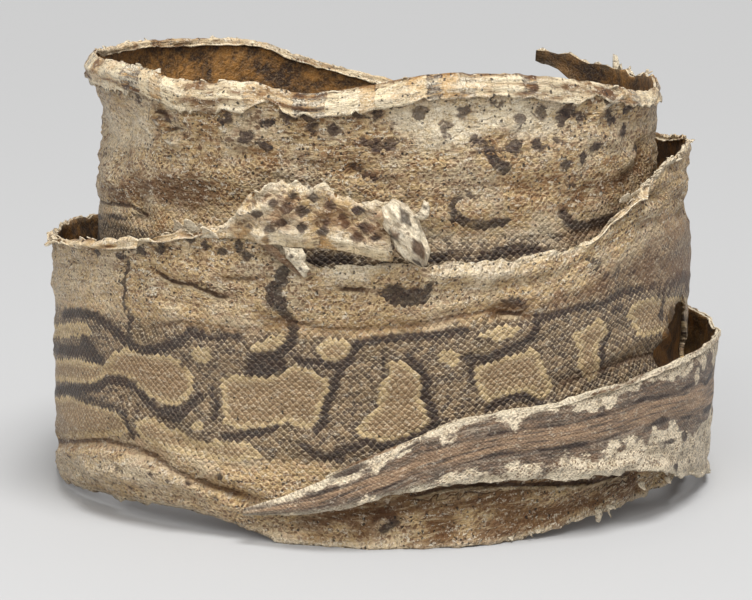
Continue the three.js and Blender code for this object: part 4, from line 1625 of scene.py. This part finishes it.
def tail_colour(g, colour):
    """The tail: a brown line along grey-brown, with cream margins. Here patch is above 0 in the middle."""
    patch = g.layer("patch")[0]
    thread = g.noise(g.vector(g.s * 0.06, g.v), 0.75, 5.0, 0.72)
    grey = g.mix(g.step(g.streak, 0.4, 0.56), TAIL_GREY, TAIL_BROWN)
    grey = g.mix(g.step(thread, 0.5, 0.64) * 0.8, grey, TAIL_LIGHT)
    grey = g.mix(g.step(g.mottle, 0.48, 0.6) * 0.5, grey, TAIL_GREY)
    stripe = g.mix(g.step(thread, 0.44, 0.54) * 0.8, STRIPE_BROWN, TAIL_BROWN)
    stripe = g.mix(g.step(thread, 0.54, 0.6) * 0.85, stripe, TAIL_GREY)
    off_line = g.step(g.flank + (g.streak - 0.5) * 0.36, 0.14, 0.26)
    grey = g.mix(1.0 - off_line, grey, stripe)
    margin = g.mix(g.step(g.mottle, 0.48, 0.62) * 0.5, TAIL_CREAM, FLANK)
    margin = g.mix(g.step(thread, 0.54, 0.66) * 0.5, margin, TAIL_LIGHT)
    margin = g.mix(g.step(g.curls + g.mottle * 0.5, 0.8, 0.87) * 0.6, margin, TAIL_GREY)
    wander = (g.fine - 0.5) * 1.6 + (g.curls - 0.5) * 9.0
    tail = g.mix(g.step(patch + wander, -0.6, 0.9), margin, grey)
    return g.mix(1.0 - g.step(g.s, *TAIL_FADES), colour, tail)


def dark_marks(g, colour):
    """Lays the dark lines and spots over the colour, and returns where they are too."""
    edge = (g.fine - 0.5) * (0.4 + g.large * 1.4)
    stray = (0.9 + g.large * 1.6) * (0.4 + g.step(g.s, *SCALES_GROW) * 0.6)
    dark = g.step(g.once_a_scale("dark", stray) + edge, -0.6, 0.3)
    line = g.mix(g.step(g.mottle, 0.42, 0.66), DARK, DARK_RED)
    spot = g.mix(g.step(g.curls, 0.5, 0.66), SPOT, SPOT_PALE)
    share = 0.2 + (g.mottle * 0.8 + g.fine * 0.6)
    return g.mix(dark * share, colour, g.mix(g.large, line, spot)), dark


def scute_colour(g, colour):
    """Broad belly scutes on the folded rims: cream and amber plates with brown gaps and streaks."""
    count = (g.s + (g.mottle - 0.5) * 3.0) * (1 / SCUTE_LENGTH)
    within = g.math("FRACT", count)
    white = g.node("ShaderNodeTexWhiteNoise", noise_dimensions="1D")
    g.put(white.inputs["W"], g.math("FLOOR", count))
    own = Value(g, white.outputs[0])
    streak = g.noise(g.vector(g.s * 0.22, g.v), 1.1, 4.0, 0.7)
    plate = g.mix(g.step(own * 0.6 + g.mottle, 0.6, 1.0), CREAM, AMBER)
    plate = g.mix(g.step(streak, 0.52, 0.6) * 0.75, plate, BROWN)
    plate = g.mix(g.step(own, 0.84, 0.88) * g.step(streak, 0.4, 0.5), plate, SPOT)
    gap = g.math("MAXIMUM", g.step(within, 0.88, 0.96), 1.0 - g.step(within, 0.0, 0.06))
    plate = g.mix(gap * g.step(streak, 0.42, 0.55) * 0.7, plate, SCUTE_GAP)
    return g.mix(g.scute * 0.95, colour, plate)


def scale_light(g, colour, dark):
    """Each scale's own lightness, a painted highlight on its upper rim over a faint pale rim,
    painted shade in the gap under it, and the flanks' brown dots.
    """
    colour = g.shade(colour, 0.6 + g.own * 0.22 + g.fine * 0.52)
    flanks = g.step(g.flank + (g.broad - 0.5) * 0.3, 0.4, 0.6)
    up = g.side + g.tip * (0.5 - g.step(g.s, *RIM_HIGHLIGHT_GROWS) * 0.45)
    lit = g.step(up, -0.1, 0.7)
    shaded = g.step(up * -1.0, 0.1, 0.8)
    edge = g.step(g.out, 0.56, 0.86) * g.plain * (0.15 + g.step(g.s, *SCALES_GROW) * 0.85)
    # painted shade in the gap under each scale's rim
    colour = g.mix(shaded * edge * (0.46 - flanks * 0.2), colour, GAP_SHADE)
    net = edge * g.step(g.fine, 0.3, 0.56) * (1.0 - (dark * 0.66 + flanks * 0.15))
    # how strong the painted highlight on the upper rims is
    bright = 0.36 + g.step(g.s, *RIM_HIGHLIGHT_GROWS) * 0.18
    # a faint pale rim, with a painted highlight on its upper side
    colour = g.mix(net * (0.12 + lit * bright), colour, NET_PALE_AND_HIGHLIGHT)
    dot = 1.0 - g.step(g.out - (0.3 + g.mottle * 0.7), -0.2, 0.2)
    dot = dot * (flanks * (1.0 - dark) * g.plain)
    return g.mix(dot * g.step(g.own + g.curls, 0.7, 1.1) * 0.75, colour, NET_BROWN)


def weathering(g, colour, dark):
    """Stains and painted shade in brown, bleached edges, dark specks between the scales, painted shade
    along the long folds with cream streaks between them, white flakes of loose skin with painted glints
    among them, and brown dirt.
    """
    brown, pale, speckle = g.layer("tone")
    stain_and_painted_light = g.step(brown + (g.fine - 0.5) * 0.9, 0.05, 0.9)
    # stains, and painted shade from the creases, the tail strip and the right-hand end, in brown
    colour = g.mix(stain_and_painted_light * 0.8, colour, STAIN_AND_SHADE_BROWN)
    white = g.step(g.fine + g.mottle * 0.7, 0.66, 0.96)
    pale = pale * (1.0 - dark * 0.8)
    colour = g.mix(pale * (white * 0.85), colour, WHITE)
    colour = g.mix(pale * 0.3, colour, CREAM)
    colour = g.mix(specks(g, speckle) * 0.85, colour, BLACK)
    # painted shade along the long folds, and cream streaks between them
    folds = g.step(g.streak, 0.53, 0.66) * (0.12 + speckle * 0.5)
    colour = g.mix(folds, colour, g.mix(1.0, colour, FOLD_SHADE, "MULTIPLY"))
    bright = g.step(1.0 - g.streak, 0.52, 0.64) * (1.0 - dark)
    colour = g.mix(bright * (0.1 + speckle * 0.6), colour, CREAM)
    # white flakes of loose skin, partly painted glints
    flecks_and_glints = g.step(g.curls + g.fine * 0.8, 0.96, 1.06) * (1.0 - dark * 0.7)
    colour = g.mix(flecks_and_glints * (0.3 + speckle * 0.5), colour, WHITE)
    dirt = g.step(g.noise(g.place, 0.8, 5.0, 0.75), 0.52, 0.66)
    return g.mix(dirt * 0.45, colour, BROWN)


def specks(g, speckle):
    """1 on dark specks, which crowd together where speckle is high, and 0 between them."""
    spots = g.node("ShaderNodeTexVoronoi", voronoi_dimensions="2D")
    bent = g.vector(g.s + (g.fine - 0.5) * 1.6, g.v + (g.curls - 0.5) * 2.0)
    g.put(spots.inputs["Vector"], bent)
    spots.inputs["Scale"].default_value = 0.6
    chance, size = g.split(Value(g, spots.outputs["Color"]))[:2]
    near = g.step(size * 0.34 - Value(g, spots.outputs["Distance"]), 0.0, 0.08)
    crowd = speckle * 0.9 + (g.mottle - 0.5) * 2.2 - (1.0 - g.step(g.s, *SCALES_GROW))
    return near * g.step(crowd - chance, -0.02, 0.02)


def creases(g, colour, height):
    """The sharp lines of the creases, in painted light: painted shade in the valleys with a painted
    highlight on their lit side, and a painted highlight on the crests.
    """
    distance, strength = g.layer("crease")[:2]
    stray = distance + (g.curls - 0.5) * 1.6
    width = -0.25 + g.mottle * 1.6
    line = 1.0 - g.step(g.math("ABSOLUTE", stray) - width, -0.3, 0.4)
    valley = line * g.step(strength, 0.3, 1.0)
    crest = line * g.step(strength * -1.0, 0.3, 0.9)
    lit = 1.0 - g.step(g.math("ABSOLUTE", stray + 1.1), 0.3, 0.8)
    # painted shade in the valleys
    colour = g.mix(valley * 0.85, colour, CREASE_SHADE)
    # painted highlight on the lit side of the valleys
    colour = g.mix(lit * g.step(strength, 0.5, 1.0) * 0.4, colour, CREAM)
    # painted highlight on the crests
    colour = g.mix(crest * 0.6, colour, WHITE)
    return colour, height + (crest - valley)


def relief(g):
    """Height in millimetres: domed, shingled scales over fine wrinkles, and long ones on the tail."""
    dome = (1.0 - g.out * g.out) * 0.34
    scales = (dome + g.side * 0.24) * g.plain
    wrinkle = g.noise(g.vector(g.s * 0.35, g.v), 0.5, 4.0, 0.62) * 2.2
    tail = (1.0 - g.step(g.s, *TAIL_WRINKLES_FADE)) * g.streak
    small = g.fine * 0.7 + g.curls * 0.9
    return (scales + wrinkle) + (small + tail * 1.6)


def inner_material():
    """The inside: dark brown and amber, with the pattern showing through."""
    g = SkinGraph("brown_inside")
    broad = g.noise(g.place, 0.07, 4.0, 0.62)
    mottle = g.noise(g.place, 0.3, 5.0, 0.7)
    fine = g.noise(g.place, 1.2, 4.0, 0.7)
    colour = g.mix(g.step(broad + mottle * 0.8, 0.74, 1.1), INSIDE_DARK, INSIDE_AMBER)
    colour = g.mix(g.step(g.layer("patch")[0], -1.0, 1.5) * 0.35, colour, INSIDE_PALE)
    colour = g.mix(g.step(g.layer("dark")[0], -1.5, 1.0) * 0.7, colour, INSIDE_DARK)
    colour = g.mix(g.layer("tone")[1] * 0.45, colour, INSIDE_PALE)
    net = g.step(g.out, 0.6, 0.98) * g.step(fine, 0.4, 0.6)
    colour = g.mix(net * 0.35, colour, INSIDE_PALE)
    neck = g.step(g.s + (mottle - 0.5) * 40.0, SHEET_LENGTH - DARK_NECK, SHEET_LENGTH)
    light = (0.6 + fine * 0.75) * (1.0 - neck * 0.6)
    height = g.out * g.out * 0.16 + mottle * 1.4 + fine * 0.3
    return g.finish(g.shade(colour, light), 0.36 + mottle * 0.25, height)


# ---------------------------------------------------------------- the scene


def put_in_scene(name, data):
    """A new object of the scene, with this mesh, light or camera."""
    made = bpy.data.objects.new(name, data)
    bpy.context.scene.collection.objects.link(made)
    return made


def build_skin():
    """The whole skin as one piece, standing where the CAD model stands."""
    skin = Skin()
    add_sheet(skin)
    add_hems(skin)
    add_flap(skin)
    add_curl(skin)
    add_flakes(skin)
    add_scraps(skin)
    piece = put_in_scene("shed_skin_sheet", skin.mesh("shed_skin_sheet"))
    piece.data.materials.append(outer_material())
    piece.data.materials.append(inner_material())
    return piece


def roll_to_frame():
    """The move from the roll's own frame to the CAD model's, in metres."""
    angle = np.linspace(TAIL_ANGLE, NECK_ANGLE, 171)[:, None]
    low = lower_edge(angle)
    height = low + (along(UPPER_EDGE, angle) - low) * np.linspace(0, 1, 11)
    angle = np.broadcast_to(angle, height.shape)
    points = shaped_wall(angle, height).reshape(-1, 3)
    middle = (points.min(0) + points.max(0)) / 2 * MM
    low_corner, high_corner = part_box(NODE)
    centre = (low_corner + high_corner) / 2
    return Matrix.Translation((centre.x - middle[0], centre.y - middle[1], 0))


def add_camera(to_frame):
    data = bpy.data.cameras.new("camera")
    data.sensor_width = SENSOR
    data.lens = FOCAL_PX / IMAGE[0] * SENSOR
    data.clip_end = 20
    camera = put_in_scene("camera", data)
    camera.location = to_frame @ Vector(CAMERA_PLACE * MM)
    camera.rotation_euler = (np.pi / 2 - CAMERA_PITCH, 0, 0)
    bpy.context.scene.camera = camera


def add_light(name, kind, watts, place, target, **settings):
    """A light at a place, turned towards a target."""
    data = bpy.data.lights.new(name, kind)
    data.energy = watts
    for key, value in settings.items():
        setattr(data, key, value)
    light = put_in_scene(name, data)
    light.location = place
    light.rotation_euler = (Vector(target) - Vector(place)).to_track_quat("-Z", "Y").to_euler()


def add_studio():
    """A pale floor that runs out of sight, under a soft key light and an even surround."""
    data = bpy.data.meshes.new("floor")
    far = FLOOR_REACH
    data.from_pydata([(-far, -far, 0), (far, -far, 0), (far, far, 0), (-far, far, 0)], [], [(0, 1, 2, 3)])
    floor = put_in_scene("floor", data)
    material = bpy.data.materials.new("pale_floor")
    material.use_nodes = True
    surface = material.node_tree.nodes["Principled BSDF"]
    surface.inputs["Base Color"].default_value = FLOOR_GREY
    surface.inputs["Roughness"].default_value = 0.7
    surface.inputs["Specular IOR Level"].default_value = 0.1
    data.materials.append(material)
    world = bpy.data.worlds.new("studio")
    world.use_nodes = True
    background = world.node_tree.nodes["Background"]
    background.inputs["Color"].default_value = SURROUND_GREY
    background.inputs["Strength"].default_value = SURROUND_STRENGTH
    bpy.context.scene.world = world
    add_light("key", "SUN", 3.0, (0.16, -0.32, 1.0), (0, 0, 0), angle=np.radians(28))
    add_light("softbox", "AREA", 12.0, (-0.3, -1.2, 0.9), (0, 0, 0.05), shape="SQUARE", size=1.0)
    bpy.context.scene.view_settings.view_transform = "Standard"


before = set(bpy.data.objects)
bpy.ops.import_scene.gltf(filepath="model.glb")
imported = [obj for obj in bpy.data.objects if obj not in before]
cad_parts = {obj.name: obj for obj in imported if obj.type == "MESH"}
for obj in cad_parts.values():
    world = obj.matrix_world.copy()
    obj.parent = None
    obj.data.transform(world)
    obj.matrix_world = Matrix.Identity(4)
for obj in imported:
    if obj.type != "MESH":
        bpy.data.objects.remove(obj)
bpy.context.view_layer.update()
to_frame = roll_to_frame()
add_camera(to_frame)
add_studio()
piece = build_skin()
piece.data.transform(to_frame)
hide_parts(NODE)
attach(piece, "root")
